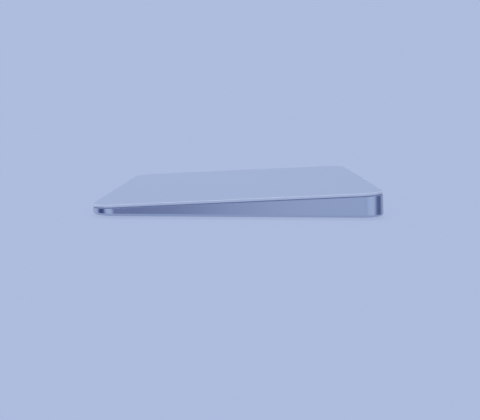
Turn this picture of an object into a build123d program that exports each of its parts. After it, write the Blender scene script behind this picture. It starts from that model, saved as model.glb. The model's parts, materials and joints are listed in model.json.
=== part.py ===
from build123d import *
from math import asin, cos, degrees, sin
import os

# Desk trackpad: a glass touch plate on four sprung corners over a thin aluminium wedge.
# Millimetres. +Z is up, X is the width, the thin front edge is at -Y and the thick rear edge at +Y.
# The origin lies on the desk, under the middle of the outline.

# Driving dimensions of the whole
WIDTH = 160.0
DEPTH = 114.9
FRONT_HEIGHT = 4.9
REAR_HEIGHT = 10.9
PLAN_CORNER = 10.0
FOOT_PROUD = 0.8

# Aluminium tray
WALL = 1.4
FLOOR_T = 0.9
BOTTOM_ROUND = 1.3
RIM_CHAMFER = 0.15
POCKET_CHAMFER = 0.6
FENCE_T = 0.8
FENCE_H = 1.4
RIB_H = 0.35
RIB_T = 1.0
RIB_PITCH = 9.0

# Touch plate, from the glass down
GLASS_T = 1.1
GLASS_INSET = 0.05
GLASS_EDGE_ROUND = 0.3
GLASS_UNDER_CHAMFER = 0.12
GLUE_T = 0.1
TOUCH_BOARD_T = 0.6
STIFFENER_T = 0.5
EDGE_MARGIN = 0.65
STIFFENER_CORNER = 6.0
WINDOW_WIDTH = 54.0
WINDOW_LENGTH = 25.0
WINDOW_CORNER = 2.0
WINDOW_FROM_REAR = 19.0

# Seal between the glass and the rim of the tray
SEAL_PRESSED = 0.1
SEAL_INSET = 0.35
SEAL_WIDTH = 0.7

# Travel of the moving pieces
PRESS_TRAVEL = 0.2
SHAKE_TRAVEL = 0.15
SWITCH_TRAVEL = 2.4

# Bending plates that carry the touch plate and sense the press
GEL_T = 0.4
GEL_SIZE = 7.0
GEL_CORNER = 1.5
GEL_PLATE_T = 0.2
GEL_PLATE_LIP = 0.8
FLEX_LENGTH = 22.0
FLEX_WIDTH = 12.0
FLEX_T = 0.5
FLEX_CORNER = 1.2
FLEX_END = 6.0
FLEX_WAIST_LENGTH = 5.0
FLEX_WAIST_WIDTH = 5.6
FLEX_WAIST_ROUND = 1.2
FLEX_SIDE_GAP = 1.0
FLEX_BOARD_GAP = 2.0
FLEX_BOSS_MIN = 0.6
FLEX_HOLE_PITCH = 7.2
GAUGE_LENGTH = 3.4
GAUGE_WIDTH = 2.6
GAUGE_T = 0.1

# Screws, all of one size
SCREW_R = 0.55
SCREW_HEAD_R = 1.05
SCREW_HEAD_H = 0.4
SCREW_SOCKET_R = 0.55
SCREW_SOCKET_DEPTH = 0.25
SCREW_BITE = 0.9
SCREW_CLEAR = 0.06
HOLE_OVERRUN = 0.15

# Feet
FOOT_R = 5.0
FOOT_RECESS = 0.45
FOOT_CLEAR = 0.1
FOOT_GLUE_T = 0.1
FOOT_CHAMFER = 0.3
FOOT_INSET_X = 16.0
FOOT_INSET_Y = 15.0

# Click actuator: laminated core with three coils that pulls a steel bar under the touch plate
ACT_TOP_GAP = 0.25
ACT_FLOOR_GAP = 0.2
CORE_T = 1.5
CORE_BACK = 4.0
CORE_LEG_LENGTH = 11.0
CORE_LEG_WIDTH = 4.0
CORE_LEG_PITCH = 8.2
COIL_WALL_SIDE = 1.6
COIL_WALL_FLAT = 0.35
COIL_CLEAR = 0.1
COIL_LENGTH = 7.0
COIL_ROUND = 0.5
BRACKET_T = 0.3
BRACKET_LIP = 1.0
BRACKET_EAR = 5.0
BRACKET_CORNER = 1.0
AIR_MARGIN = 0.35
BAR_WIDTH = 2.4
BAR_FLANGE = 8.0
BAR_FLANGE_T = 0.5
BAR_END_GAP = 0.3

# Battery
BAY_GAP = 1.2
BAY_SIDE_GAP = 0.7
CHANNEL_WIDTH = 7.0
CELL_CLEAR = 0.5
CELL_SWELL = 0.5
CELL_CORNER = 1.5
CELL_CHAMFER = 0.7
CELL_GLUE_WIDTH = 8.0
TERRACE_LENGTH = 3.0
TERRACE_H = 1.0
TAB_WIDTH = 3.0
TAB_T = 0.15
TAB_REACH = 1.5
GUARD_WIDTH = 62.0
GUARD_DEPTH = 4.2
GUARD_T = 0.7
GUARD_GAP = 0.5

# Main board
BOARD_DEPTH = 13.5
BOARD_T = 0.8
BOARD_CLEAR = 0.6
BOARD_SIDE_GAP = 8.0
BOARD_CORNER = 1.5
POST_H = 0.9
POST_R = 1.7
POST_EDGE = 2.6
LARGE_CHIP = 6.0
SMALL_CHIP = 3.2
CHIP_H = 0.8
CHIP_STANDOFF = 0.1
SHIELD_WIDTH = 16.0
SHIELD_DEPTH = 9.0
SHIELD_H = 1.5
SHIELD_T = 0.2
SHIELD_CORNER = 1.0
CONNECTOR_WIDTH = 6.0
CONNECTOR_DEPTH = 2.4
CONNECTOR_H = 0.7
CONNECTOR_EDGE = 0.6
RIBBON_T = 0.15
RIBBON_WIDTH = 5.0
RIBBON_BEND = 0.6
SENSOR_RIBBON_WIDTH = 2.4

# Port in the rear wall
PORT_WIDTH = 8.94
PORT_H = 3.16
PORT_WALL = 0.3
PORT_ROUND = 1.3
PORT_LENGTH = 7.4
PORT_SETBACK = 0.25
PORT_CLEAR = 0.12
PORT_BACK = 1.0
TONGUE_WIDTH = 6.69
TONGUE_T = 0.7
TONGUE_SETBACK = 1.0
MOUTH_CHAMFER = 0.2
STRAP_T = 0.3
STRAP_DEPTH = 3.6
STRAP_EAR = 3.4
STRAP_CLEAR = 0.05
STRAP_FROM_MOUTH = 2.6

# Power switch in the rear wall
SWITCH_FROM_SIDE = 22.0
SWITCH_BODY_WIDTH = 9.0
SWITCH_BODY_DEPTH = 3.6
SWITCH_WALL_GAP = 0.3
RECESS_H = 3.4
RECESS_DEPTH = 0.75
CAP_LENGTH = 6.4
CAP_CLEAR = 0.2
CAP_GAP = 0.15
CAP_SETBACK = 0.05
CAP_CHAMFER = 0.15
CAP_DISH_RIM = 0.6
CAP_DISH_DEPTH = 0.1
STEM_WIDTH = 1.4
STEM_H = 1.0
STEM_REACH = 1.6
SLOT_CLEAR = 0.25
FILM_T = 0.05

# Antenna on the end of the main board
ANTENNA_WIDTH = 13.0
ANTENNA_DEPTH = 5.0
ANTENNA_H = 2.2
ANTENNA_ROUND = 0.8
ANTENNA_STRIP_T = 0.1
ANTENNA_MARGIN = 0.6
ANTENNA_SLITS = 7
ANTENNA_SLIT = 0.5
ANTENNA_FROM_SIDE = 20.5

# Places on the main board, as shares of its half width and of its depth
CHIP_PLACE_SHARES = ((-0.62, -0.18), (-0.5, 0.22), (-0.42, -0.2), (0.32, -0.25), (0.28, 0.2))
SHIELD_PLACE_SHARE = 0.55
POST_PLACE_SHARES = (0.38, 0.93)
BATTERY_LEAD_SHARE = 0.2
TOUCH_LEAD_SHARE = -0.2
TOUCH_CHIP_SHARES = (-0.5, 0.5)
GUARD_CHIP_SHARES = (-0.6, -0.45, 0.7)

CENTRE_TOP = (Align.CENTER, Align.CENTER, Align.MAX)
CENTRE_BASE = (Align.CENTER, Align.CENTER, Align.MIN)
SIDES = (-1, 1)
SIDE_NAMES = {-1: "left", 1: "right"}

# The touch surface is a plane that rises towards the rear
TILT = asin((REAR_HEIGHT - FRONT_HEIGHT) / DEPTH)
COS = cos(TILT)
SIN = sin(TILT)
REACH = 2 * REAR_HEIGHT
REAR_ROUND_DEPTH = (REAR_HEIGHT + GLASS_INSET * SIN - BOTTOM_ROUND * (1 + SIN) - FOOT_PROUD) / COS
SLOPE = (
    DEPTH
    - REAR_ROUND_DEPTH * SIN
    - BOTTOM_ROUND
    + (BOTTOM_ROUND + GLASS_INSET) * COS
    + GLASS_EDGE_ROUND * SIN
) / COS
DECK_Y = (SLOPE / 2 - GLASS_INSET) * COS - GLASS_EDGE_ROUND * SIN - DEPTH / 2
DECK_Z = REAR_HEIGHT - (SLOPE / 2 - GLASS_INSET) * SIN
DECK = Plane(origin=(0, DECK_Y, DECK_Z), x_dir=(1, 0, 0), z_dir=(0, -SIN, COS))

# Gaps that leave room for the travel
PLATFORM_CLEAR = SHAKE_TRAVEL + EDGE_MARGIN
AIR_GAP = SHAKE_TRAVEL + AIR_MARGIN
SEAL_GAP = PRESS_TRAVEL + SEAL_PRESSED

# Depths under the touch surface, along its normal
GLUE_TOP = GLASS_T
BOARD_UPPER = GLUE_TOP + GLUE_T
STIFFENER_TOP = BOARD_UPPER + TOUCH_BOARD_T
PLATFORM_BOTTOM = STIFFENER_TOP + STIFFENER_T
GEL_BOTTOM = PLATFORM_BOTTOM + GEL_T
FLEX_TOP = GEL_BOTTOM + GEL_PLATE_T
FLEX_SEAT = FLEX_TOP + FLEX_T
RIM_DEPTH = GLASS_T + SEAL_GAP
COIL_TOP = PLATFORM_BOTTOM + PRESS_TRAVEL + ACT_TOP_GAP
CORE_TOP = COIL_TOP + COIL_WALL_FLAT + COIL_CLEAR
CORE_BOTTOM = CORE_TOP + CORE_T
BRACKET_SEAT = CORE_BOTTOM + BRACKET_T
COIL_BOTTOM = CORE_BOTTOM + COIL_CLEAR + COIL_WALL_FLAT

# Heights above the desk
FLOOR_TOP = FOOT_PROUD + FLOOR_T
BOARD_BOTTOM = FLOOR_TOP + POST_H
BOARD_TOP = BOARD_BOTTOM + BOARD_T
PORT_Z = BOARD_TOP + PORT_H / 2


def slope_at(depth, height):
    """Place along the slope where a point at this depth under the surface has this height."""
    return (height + depth * COS - DECK_Z) / SIN


def slope_of(y, depth):
    """Place along the slope of a point at this depth under the surface and this y."""
    return (y - DECK_Y - depth * SIN) / COS


def y_of(v, depth):
    """The y of a point at this place along the slope and this depth."""
    return DECK_Y + v * COS + depth * SIN


def z_of(v, depth):
    """The height of a point at this place along the slope and this depth."""
    return DECK_Z + v * SIN - depth * COS


def rear_wall_y(inset, height):
    """The y of the rear wall, this far inside its outer face, at this height."""
    v = SLOPE / 2 - inset
    return y_of(v, (DECK_Z + v * SIN - height) / COS)


# Places along the width
FLEX_OUTER_X = WIDTH / 2 - WALL - FLEX_SIDE_GAP
FLEX_INNER_X = FLEX_OUTER_X - FLEX_LENGTH
FLEX_SCREW_X = FLEX_OUTER_X - FLEX_END / 2
WAIST_X = FLEX_OUTER_X - FLEX_END - FLEX_WAIST_LENGTH / 2
PAD_LENGTH = FLEX_LENGTH - FLEX_END - FLEX_WAIST_LENGTH
PAD_X = FLEX_INNER_X + PAD_LENGTH / 2
BAY_HALF = FLEX_INNER_X - BAY_SIDE_GAP - FENCE_T
BOARD_HALF = WIDTH / 2 - WALL - BOARD_SIDE_GAP
STIFFENER_HALF = FLEX_OUTER_X - FLEX_END - PLATFORM_CLEAR
CELL_INNER_X = CHANNEL_WIDTH / 2 + FENCE_T + CELL_CLEAR
CELL_OUTER_X = BAY_HALF - CELL_CLEAR
CELL_WIDTH = CELL_OUTER_X - CELL_INNER_X
CELL_X = (CELL_OUTER_X + CELL_INNER_X) / 2
SWITCH_X = WIDTH / 2 - SWITCH_FROM_SIDE
ANTENNA_X = -BOARD_HALF + ANTENNA_FROM_SIDE - ANTENNA_WIDTH / 2

# Places from the rear wall forward
BOARD_REAR = rear_wall_y(WALL, BOARD_TOP) - BOARD_CLEAR
BOARD_FRONT = BOARD_REAR - BOARD_DEPTH
BOARD_Y = (BOARD_REAR + BOARD_FRONT) / 2
GUARD_REAR = BOARD_FRONT - GUARD_GAP
GUARD_Y = GUARD_REAR - GUARD_DEPTH / 2
BAY_REAR = GUARD_REAR - GUARD_DEPTH - GUARD_GAP
CONNECTOR_Y = BOARD_FRONT + CONNECTOR_EDGE + CONNECTOR_DEPTH / 2
PORT_MOUTH = rear_wall_y(0, PORT_Z + PORT_H / 2) - PORT_SETBACK
POST_Y = BOARD_REAR - POST_EDGE
STRAP_Y = PORT_MOUTH - STRAP_FROM_MOUTH
FLEX_REAR_V = slope_of(BOARD_FRONT, FLEX_SEAT) - FLEX_BOARD_GAP - FLEX_WIDTH / 2

# Places from the front, where the wedge is deep enough
FLEX_FRONT_V = slope_at(FLEX_SEAT, FLOOR_TOP + FLEX_BOSS_MIN) + FLEX_WIDTH / 2
FLEX_PLACES = {"front": FLEX_FRONT_V, "rear": FLEX_REAR_V}
ACT_FRONT_V = slope_at(COIL_BOTTOM, FLOOR_TOP + ACT_FLOOR_GAP)
COIL_WIDTH = CORE_LEG_WIDTH + 2 * (COIL_CLEAR + COIL_WALL_SIDE)
ACT_LENGTH = 2 * CORE_LEG_PITCH + COIL_WIDTH
ACT_V = ACT_FRONT_V + ACT_LENGTH / 2
CORE_LENGTH = 2 * CORE_LEG_PITCH + CORE_LEG_WIDTH
CORE_X = -(CORE_BACK + CORE_LEG_LENGTH + AIR_GAP + BAR_WIDTH) / 2
LEG_X = CORE_X + CORE_BACK
TIP_X = LEG_X + CORE_LEG_LENGTH
BRACKET_WIDTH = CORE_BACK + CORE_LEG_LENGTH + AIR_GAP + BAR_WIDTH + 2 * BRACKET_LIP
BRACKET_X = CORE_X - BRACKET_LIP + BRACKET_WIDTH / 2
BRACKET_LENGTH = ACT_LENGTH + 2 * BRACKET_LIP
EAR_X = BRACKET_WIDTH / 2 + BRACKET_EAR / 2
EAR_V = BRACKET_LENGTH / 2 - BRACKET_EAR / 2
BAY_FRONT = y_of(ACT_FRONT_V + BRACKET_LENGTH, COIL_BOTTOM) + BAY_GAP
CELL_FRONT = BAY_FRONT + CELL_CLEAR
CELL_REAR = BAY_REAR - CELL_CLEAR + GUARD_GAP
CELL_LENGTH = CELL_REAR - CELL_FRONT
CELL_BASE = FLOOR_TOP + GLUE_T
CELL_TOP = z_of(slope_of(CELL_FRONT, PLATFORM_BOTTOM), PLATFORM_BOTTOM) - PRESS_TRAVEL - CELL_SWELL
TERRACE_TOP = CELL_BASE + TERRACE_H
GUARD_BASE = TERRACE_TOP - GUARD_T
WINDOW_V = SLOPE / 2 - WINDOW_FROM_REAR - WINDOW_LENGTH / 2


def deck_slab(sketch, top, bottom, x=0, v=0):
    """Solid of this outline between two depths under the touch surface."""
    return DECK * Pos(x, v, -bottom) * extrude(sketch, bottom - top)


def floor_slab(sketch, bottom, top, x=0, y=0):
    """Solid of this outline between two heights above the desk."""
    return Pos(x, y, bottom) * extrude(sketch, top - bottom)


def forward_bar(sketch, y_rear, length, x=0, z=0):
    """Solid whose outline is seen along Y, from y_rear towards the front."""
    return Plane(origin=(x, y_rear, z), x_dir=(1, 0, 0), z_dir=(0, -1, 0)) * extrude(sketch, length)


def above(height):
    """All the space of the part above this height."""
    return Pos(0, 0, height) * Box(2 * WIDTH, 2 * DEPTH, 2 * REACH, align=CENTRE_BASE)


def group(solids):
    """Separate solids kept together in one file."""
    return Compound(children=list(solids))


def plate(width, length, corner):
    return RectangleRounded(width, length, corner)


def ribbon(points, width, x=0):
    """Flat flexible lead along points given as (y, z), with small bends."""
    path = FilletPolyline(*[(x, y, z) for y, z in points], radius=RIBBON_BEND)
    start = Plane(origin=path @ 0, x_dir=(1, 0, 0), z_dir=path % 0)
    return sweep(start * Rectangle(width, RIBBON_T), path=path)


def screw(through):
    """Low-head screw with its head resting at z = 0 and its shank below."""
    head = Cylinder(SCREW_HEAD_R, SCREW_HEAD_H, align=CENTRE_BASE)
    shank = Cylinder(SCREW_R, through + SCREW_BITE, align=CENTRE_TOP)
    socket = Pos(0, 0, SCREW_HEAD_H - SCREW_SOCKET_DEPTH) * extrude(
        RegularPolygon(SCREW_SOCKET_R, 6), SCREW_SOCKET_DEPTH
    )
    return head + shank - socket


def screw_hole():
    """Blind hole for a screw, from its mouth at z = 0 down."""
    return Cylinder(SCREW_R + SCREW_CLEAR, SCREW_BITE + HOLE_OVERRUN, align=CENTRE_TOP)


def flex_screw_places():
    for v in FLEX_PLACES.values():
        for side in SIDES:
            for end in SIDES:
                yield side * FLEX_SCREW_X, v + end * FLEX_HOLE_PITCH / 2


def ear_places():
    for side in SIDES:
        for end in SIDES:
            yield BRACKET_X + side * EAR_X, ACT_V + end * EAR_V


def post_places():
    for side in SIDES:
        for share in POST_PLACE_SHARES:
            yield side * share * BOARD_HALF, POST_Y


def strap_screw_x():
    return PORT_WIDTH / 2 + STRAP_CLEAR + STRAP_T + STRAP_EAR / 2


def strap_places():
    for side in SIDES:
        yield side * strap_screw_x(), STRAP_Y - STRAP_DEPTH / 2


def foot_places():
    for name, sign in (("front", -1), ("rear", 1)):
        for side in SIDES:
            x = side * (WIDTH / 2 - FOOT_INSET_X)
            yield f"{name}_{SIDE_NAMES[side]}", x, sign * (DEPTH / 2 - FOOT_INSET_Y)


# Aluminium tray
def wedge(inset, top, base):
    """Rounded prism square to the touch surface, cut off flat at its base."""
    outline = plate(WIDTH - 2 * inset, SLOPE - 2 * inset, PLAN_CORNER - inset)
    return deck_slab(outline, top, REACH) & above(base)


def tray_shell():
    body = wedge(0, RIM_DEPTH, FOOT_PROUD)
    body = fillet(body.edges().group_by(Axis.Z)[0], BOTTOM_ROUND)
    rim = body.faces().sort_by(Axis(DECK.origin, DECK.z_dir))[-1]
    body = chamfer(rim.edges(), RIM_CHAMFER)
    pocket = wedge(WALL, 0, FLOOR_TOP)
    pocket = chamfer(pocket.edges().group_by(Axis.Z)[0], POCKET_CHAMFER)
    return body - pocket


def rooted(solid):
    """Keeps what stands on the floor, with its foot inside the floor."""
    return solid & above(FLOOR_TOP - FLOOR_T / 2)


def tray_bosses():
    """Seats machined on the floor: for bending plates, actuator, board and battery."""
    end_width = FLEX_END + FLEX_SIDE_GAP + WALL / 2
    bosses = []
    for v in FLEX_PLACES.values():
        for side in SIDES:
            x = side * (FLEX_OUTER_X - FLEX_END + end_width / 2)
            seat = Rectangle(end_width, FLEX_WIDTH)
            bosses.append(rooted(deck_slab(seat, FLEX_SEAT, REACH, x, v)))
    for x, v in ear_places():
        seat = Rectangle(BRACKET_EAR, BRACKET_EAR)
        bosses.append(rooted(deck_slab(seat, BRACKET_SEAT, REACH, x, v)))
    for x, y in list(post_places()) + list(strap_places()):
        bosses.append(floor_slab(Circle(POST_R), FLOOR_TOP - FLOOR_T / 2, BOARD_BOTTOM, x, y))
    ledge = Rectangle(GUARD_WIDTH, GUARD_DEPTH)
    bosses.append(floor_slab(ledge, FLOOR_TOP - FLOOR_T / 2, GUARD_BASE, 0, GUARD_Y))
    return bosses


def tray_fences():
    """Low walls round the two battery bays, open to the rear where the tabs come out."""
    length = BAY_REAR - BAY_FRONT + FENCE_T
    bay_width = BAY_HALF - CHANNEL_WIDTH / 2
    fences = []
    for side in SIDES:
        x = side * (CHANNEL_WIDTH / 2 + bay_width / 2)
        outer = Rectangle(bay_width + FENCE_T, length + FENCE_T)
        inner = plate(bay_width - FENCE_T, length - FENCE_T, CELL_CORNER - FENCE_T / 2)
        mouth = Pos(0, length / 2) * Rectangle(bay_width - FENCE_T, 2 * FENCE_T)
        y = BAY_FRONT - FENCE_T + length / 2
        fences.append(floor_slab(outer - inner - mouth, FLOOR_TOP - FLOOR_T / 2, FLOOR_TOP + FENCE_H, x, y))
    return fences


def tray_ribs():
    """Stiffening ribs left on the thin floor between the front bending plates."""
    front = y_of(-SLOPE / 2 + WALL, RIM_DEPTH)
    rear = y_of(ACT_FRONT_V, BRACKET_SEAT) - BAY_GAP - BRACKET_EAR
    length = rear - front
    count = int((FLEX_INNER_X - RIB_PITCH / 2) // RIB_PITCH)
    ribs = []
    for step in range(-count, count + 1):
        rib = Rectangle(RIB_T, length)
        x = step * RIB_PITCH
        ribs.append(floor_slab(rib, FLOOR_TOP - FLOOR_T / 2, FLOOR_TOP + RIB_H, x, (front + rear) / 2))
    return ribs


def tray_holes():
    for x, v in flex_screw_places():
        yield DECK * Pos(x, v, -FLEX_SEAT) * screw_hole()
    for x, v in ear_places():
        yield DECK * Pos(x, v, -BRACKET_SEAT) * screw_hole()
    for x, y in list(post_places()) + list(strap_places()):
        yield Pos(x, y, BOARD_BOTTOM) * screw_hole()
    for _, x, y in foot_places():
        yield floor_slab(Circle(FOOT_R + FOOT_CLEAR), 0, FOOT_PROUD + FOOT_RECESS, x, y)


def port_opening():
    hole = plate(PORT_WIDTH + 2 * PORT_CLEAR, PORT_H + 2 * PORT_CLEAR, PORT_ROUND + PORT_CLEAR)
    return forward_bar(hole, PORT_MOUTH + WALL, PORT_LENGTH, 0, PORT_Z)


SWITCH_DEPTH = (DECK_Z + SLOPE / 2 * SIN - PORT_Z) / COS
SWITCH_FACE = DECK * Pos(SWITCH_X, SLOPE / 2, -SWITCH_DEPTH) * Rot(-degrees(asin(1)), 0, 0)
RECESS_LENGTH = CAP_LENGTH + SWITCH_TRAVEL + 2 * CAP_CLEAR


def in_rear_wall(sketch, outer, inner, x=0):
    """Solid of this outline between two depths behind the outer face of the rear wall."""
    return SWITCH_FACE * Pos(x, 0, -inner) * extrude(sketch, inner - outer)


def switch_slot():
    return Rectangle(STEM_WIDTH + SWITCH_TRAVEL + 2 * SLOT_CLEAR, STEM_H + 2 * SLOT_CLEAR)


def switch_opening():
    recess = in_rear_wall(SlotOverall(RECESS_LENGTH, RECESS_H), -WALL, RECESS_DEPTH)
    return recess + in_rear_wall(switch_slot(), 0, 2 * WALL)


def housing():
    body = tray_shell()
    inside = wedge(WALL / 2, RIM_DEPTH, FOOT_PROUD)
    for solid in tray_bosses() + tray_fences() + tray_ribs():
        body += solid & inside
    for hole in tray_holes():
        body -= hole
    body = body - port_opening() - switch_opening()
    rear = body.faces().sort_by(Axis(DECK.origin, DECK.y_dir))[-1]
    mouths = [edge for wire in rear.inner_wires() for edge in wire.edges()]
    return chamfer(mouths, MOUTH_CHAMFER)


# Feet
def foot(x, y):
    top = FOOT_PROUD + FOOT_RECESS - FOOT_GLUE_T
    disc = floor_slab(Circle(FOOT_R), 0, top, x, y)
    return chamfer(disc.edges().group_by(Axis.Z)[0], FOOT_CHAMFER)


def foot_adhesives():
    top = FOOT_PROUD + FOOT_RECESS
    return group(floor_slab(Circle(FOOT_R), top - FOOT_GLUE_T, top, x, y) for _, x, y in foot_places())


# Touch plate
def touch_outline(inset):
    return plate(WIDTH - 2 * inset, SLOPE - 2 * inset, PLAN_CORNER - inset)


def touch_glass():
    slab = deck_slab(touch_outline(GLASS_INSET), 0, GLASS_T)
    faces = slab.faces().sort_by(Axis(DECK.origin, DECK.z_dir))
    slab = chamfer(faces[0].edges(), GLASS_UNDER_CHAMFER)
    top = slab.faces().sort_by(Axis(DECK.origin, DECK.z_dir))[-1]
    return fillet(top.edges(), GLASS_EDGE_ROUND)


def glass_adhesive():
    return deck_slab(touch_outline(WALL + PLATFORM_CLEAR), GLUE_TOP, BOARD_UPPER)


def touch_board():
    return deck_slab(touch_outline(WALL + PLATFORM_CLEAR), BOARD_UPPER, STIFFENER_TOP)


def stiffener_plate():
    sheet = plate(2 * STIFFENER_HALF, SLOPE - 2 * (WALL + PLATFORM_CLEAR), STIFFENER_CORNER)
    window = Pos(0, WINDOW_V) * plate(WINDOW_WIDTH, WINDOW_LENGTH, WINDOW_CORNER)
    return deck_slab(sheet - window, STIFFENER_TOP, PLATFORM_BOTTOM)


def touch_connector_v():
    return WINDOW_V + WINDOW_LENGTH / 2 - WINDOW_CORNER - CONNECTOR_DEPTH / 2


def touch_chips():
    """Touch controller chips and the connector, under the touch board in the stiffener's window."""
    parts = []
    chip = Rectangle(LARGE_CHIP, LARGE_CHIP)
    for share in TOUCH_CHIP_SHARES:
        x = share * WINDOW_WIDTH / 2
        parts.append(deck_slab(chip, STIFFENER_TOP, STIFFENER_TOP + CHIP_H, x, WINDOW_V))
    driver = Rectangle(SMALL_CHIP, SMALL_CHIP)
    parts.append(deck_slab(driver, STIFFENER_TOP, STIFFENER_TOP + CHIP_H, 0, WINDOW_V))
    socket = Rectangle(CONNECTOR_WIDTH, CONNECTOR_DEPTH)
    x = TOUCH_LEAD_SHARE * BOARD_HALF
    parts.append(deck_slab(socket, STIFFENER_TOP, STIFFENER_TOP + CONNECTOR_H, x, touch_connector_v()))
    return group(parts)


def touch_flex():
    depth = STIFFENER_TOP + CONNECTOR_H + RIBBON_T / 2
    start = touch_connector_v() - CONNECTOR_DEPTH / 2
    bend = touch_connector_v() + CONNECTOR_DEPTH
    landing = BOARD_TOP + CONNECTOR_H + RIBBON_T / 2
    points = (
        (y_of(start, depth), z_of(start, depth)),
        (y_of(bend, depth), z_of(bend, depth)),
        (CONNECTOR_Y - CONNECTOR_DEPTH, landing),
        (CONNECTOR_Y + CONNECTOR_DEPTH / 2, landing),
    )
    return ribbon(points, RIBBON_WIDTH, TOUCH_LEAD_SHARE * BOARD_HALF)


def attraction_bar():
    """Steel bar on a flange under the stiffener, facing the tips of the actuator's core."""
    flange = deck_slab(
        Rectangle(BAR_FLANGE, CORE_LENGTH),
        PLATFORM_BOTTOM,
        PLATFORM_BOTTOM + BAR_FLANGE_T,
        TIP_X + AIR_GAP + BAR_FLANGE / 2,
        ACT_V,
    )
    end = CORE_BOTTOM - PRESS_TRAVEL - BAR_END_GAP
    bar = Rectangle(BAR_WIDTH, CORE_LENGTH)
    return flange + deck_slab(bar, PLATFORM_BOTTOM, end, TIP_X + AIR_GAP + BAR_WIDTH / 2, ACT_V)


def edge_seal():
    inner = SEAL_INSET + SEAL_WIDTH
    return deck_slab(touch_outline(SEAL_INSET) - touch_outline(inner), GLASS_T, RIM_DEPTH)


# Bending plates
def bending_plate(side, v):
    """Spring-steel plate: screwed outer end, narrow waist with the gauge, free pad inside."""
    middle = (FLEX_OUTER_X + FLEX_INNER_X) / 2
    blank = plate(FLEX_LENGTH, FLEX_WIDTH, FLEX_CORNER)
    notch = plate(FLEX_WAIST_LENGTH, FLEX_WIDTH - FLEX_WAIST_WIDTH, FLEX_WAIST_ROUND)
    for end in SIDES:
        blank -= Pos(side * (WAIST_X - middle), end * FLEX_WIDTH / 2) * notch
        hole = Circle(SCREW_R + SCREW_CLEAR)
        blank -= Pos(side * (FLEX_SCREW_X - middle), end * FLEX_HOLE_PITCH / 2) * hole
    return deck_slab(blank, FLEX_TOP, FLEX_SEAT, side * middle, v)


def flexure_screws():
    return group(DECK * Pos(x, v, -FLEX_TOP) * screw(FLEX_T) for x, v in flex_screw_places())


def pad_places():
    for name, v in FLEX_PLACES.items():
        for side in SIDES:
            yield f"{name}_{SIDE_NAMES[side]}", side * PAD_X, v


def gel_pad(x, v):
    return deck_slab(plate(GEL_SIZE, GEL_SIZE, GEL_CORNER), PLATFORM_BOTTOM, GEL_BOTTOM, x, v)


def gel_plates():
    size = GEL_SIZE + GEL_PLATE_LIP
    outline = Rectangle(size, size)
    return group(deck_slab(outline, GEL_BOTTOM, FLEX_TOP, x, v) for _, x, v in pad_places())


def strain_gauges():
    outline = Rectangle(GAUGE_LENGTH, GAUGE_WIDTH)
    places = [(side * WAIST_X, v) for side in SIDES for v in FLEX_PLACES.values()]
    return group(deck_slab(outline, FLEX_TOP - GAUGE_T, FLEX_TOP, x, v) for x, v in places)


def sensor_flex(side):
    """Lead bonded under both bending plates of one side, then down to the main board."""
    depth = FLEX_SEAT + RIBBON_T / 2
    start = FLEX_FRONT_V - GAUGE_WIDTH / 2
    bend = FLEX_REAR_V + FLEX_WIDTH / 2
    landing = BOARD_TOP + CONNECTOR_H + RIBBON_T / 2
    points = (
        (y_of(start, depth), z_of(start, depth)),
        (y_of(bend, depth), z_of(bend, depth)),
        (BOARD_FRONT, landing),
        (CONNECTOR_Y + CONNECTOR_DEPTH / 2, landing),
    )
    return ribbon(points, SENSOR_RIBBON_WIDTH, side * WAIST_X)


# Click actuator
def actuator_bracket():
    sheet = plate(BRACKET_WIDTH, BRACKET_LENGTH, BRACKET_CORNER)
    for side in SIDES:
        for end in SIDES:
            ear = plate(2 * BRACKET_EAR, BRACKET_EAR, BRACKET_CORNER)
            sheet += Pos(side * (EAR_X - BRACKET_EAR / 2), end * EAR_V) * ear
            sheet -= Pos(side * EAR_X, end * EAR_V) * Circle(SCREW_R + SCREW_CLEAR)
    for step in (-1, 0, 1):
        window = Rectangle(COIL_LENGTH + BRACKET_T, COIL_WIDTH)
        x = LEG_X + CORE_LEG_LENGTH / 2 - BRACKET_X
        sheet -= Pos(x, step * CORE_LEG_PITCH) * window
    return deck_slab(sheet, CORE_BOTTOM, BRACKET_SEAT, BRACKET_X, ACT_V)


def actuator_core():
    """Laminated core: a back bar with three legs that point at the steel bar."""
    shape = Pos(CORE_X + CORE_BACK / 2, 0) * Rectangle(CORE_BACK, CORE_LENGTH)
    for step in (-1, 0, 1):
        leg = Rectangle(CORE_LEG_LENGTH, CORE_LEG_WIDTH)
        shape += Pos(LEG_X + CORE_LEG_LENGTH / 2, step * CORE_LEG_PITCH) * leg
    return deck_slab(shape, CORE_TOP, CORE_BOTTOM, 0, ACT_V)


def actuator_coils():
    """One flat wound coil round each leg of the core."""
    inner_width = CORE_LEG_WIDTH + 2 * COIL_CLEAR
    inner_height = CORE_T + 2 * COIL_CLEAR
    outer = plate(inner_width + 2 * COIL_WALL_SIDE, inner_height + 2 * COIL_WALL_FLAT, COIL_ROUND)
    ring = outer - Rectangle(inner_width, inner_height)
    middle = (CORE_TOP + CORE_BOTTOM) / 2
    coils = []
    for step in (-1, 0, 1):
        x = LEG_X + (CORE_LEG_LENGTH - COIL_LENGTH) / 2
        place = DECK * Pos(x, ACT_V + step * CORE_LEG_PITCH, -middle) * Rot(0, 90, 0) * Rot(0, 0, 90)
        coils.append(place * extrude(ring, COIL_LENGTH))
    return group(coils)


def actuator_screws():
    return group(DECK * Pos(x, v, -CORE_BOTTOM) * screw(BRACKET_T) for x, v in ear_places())


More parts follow.
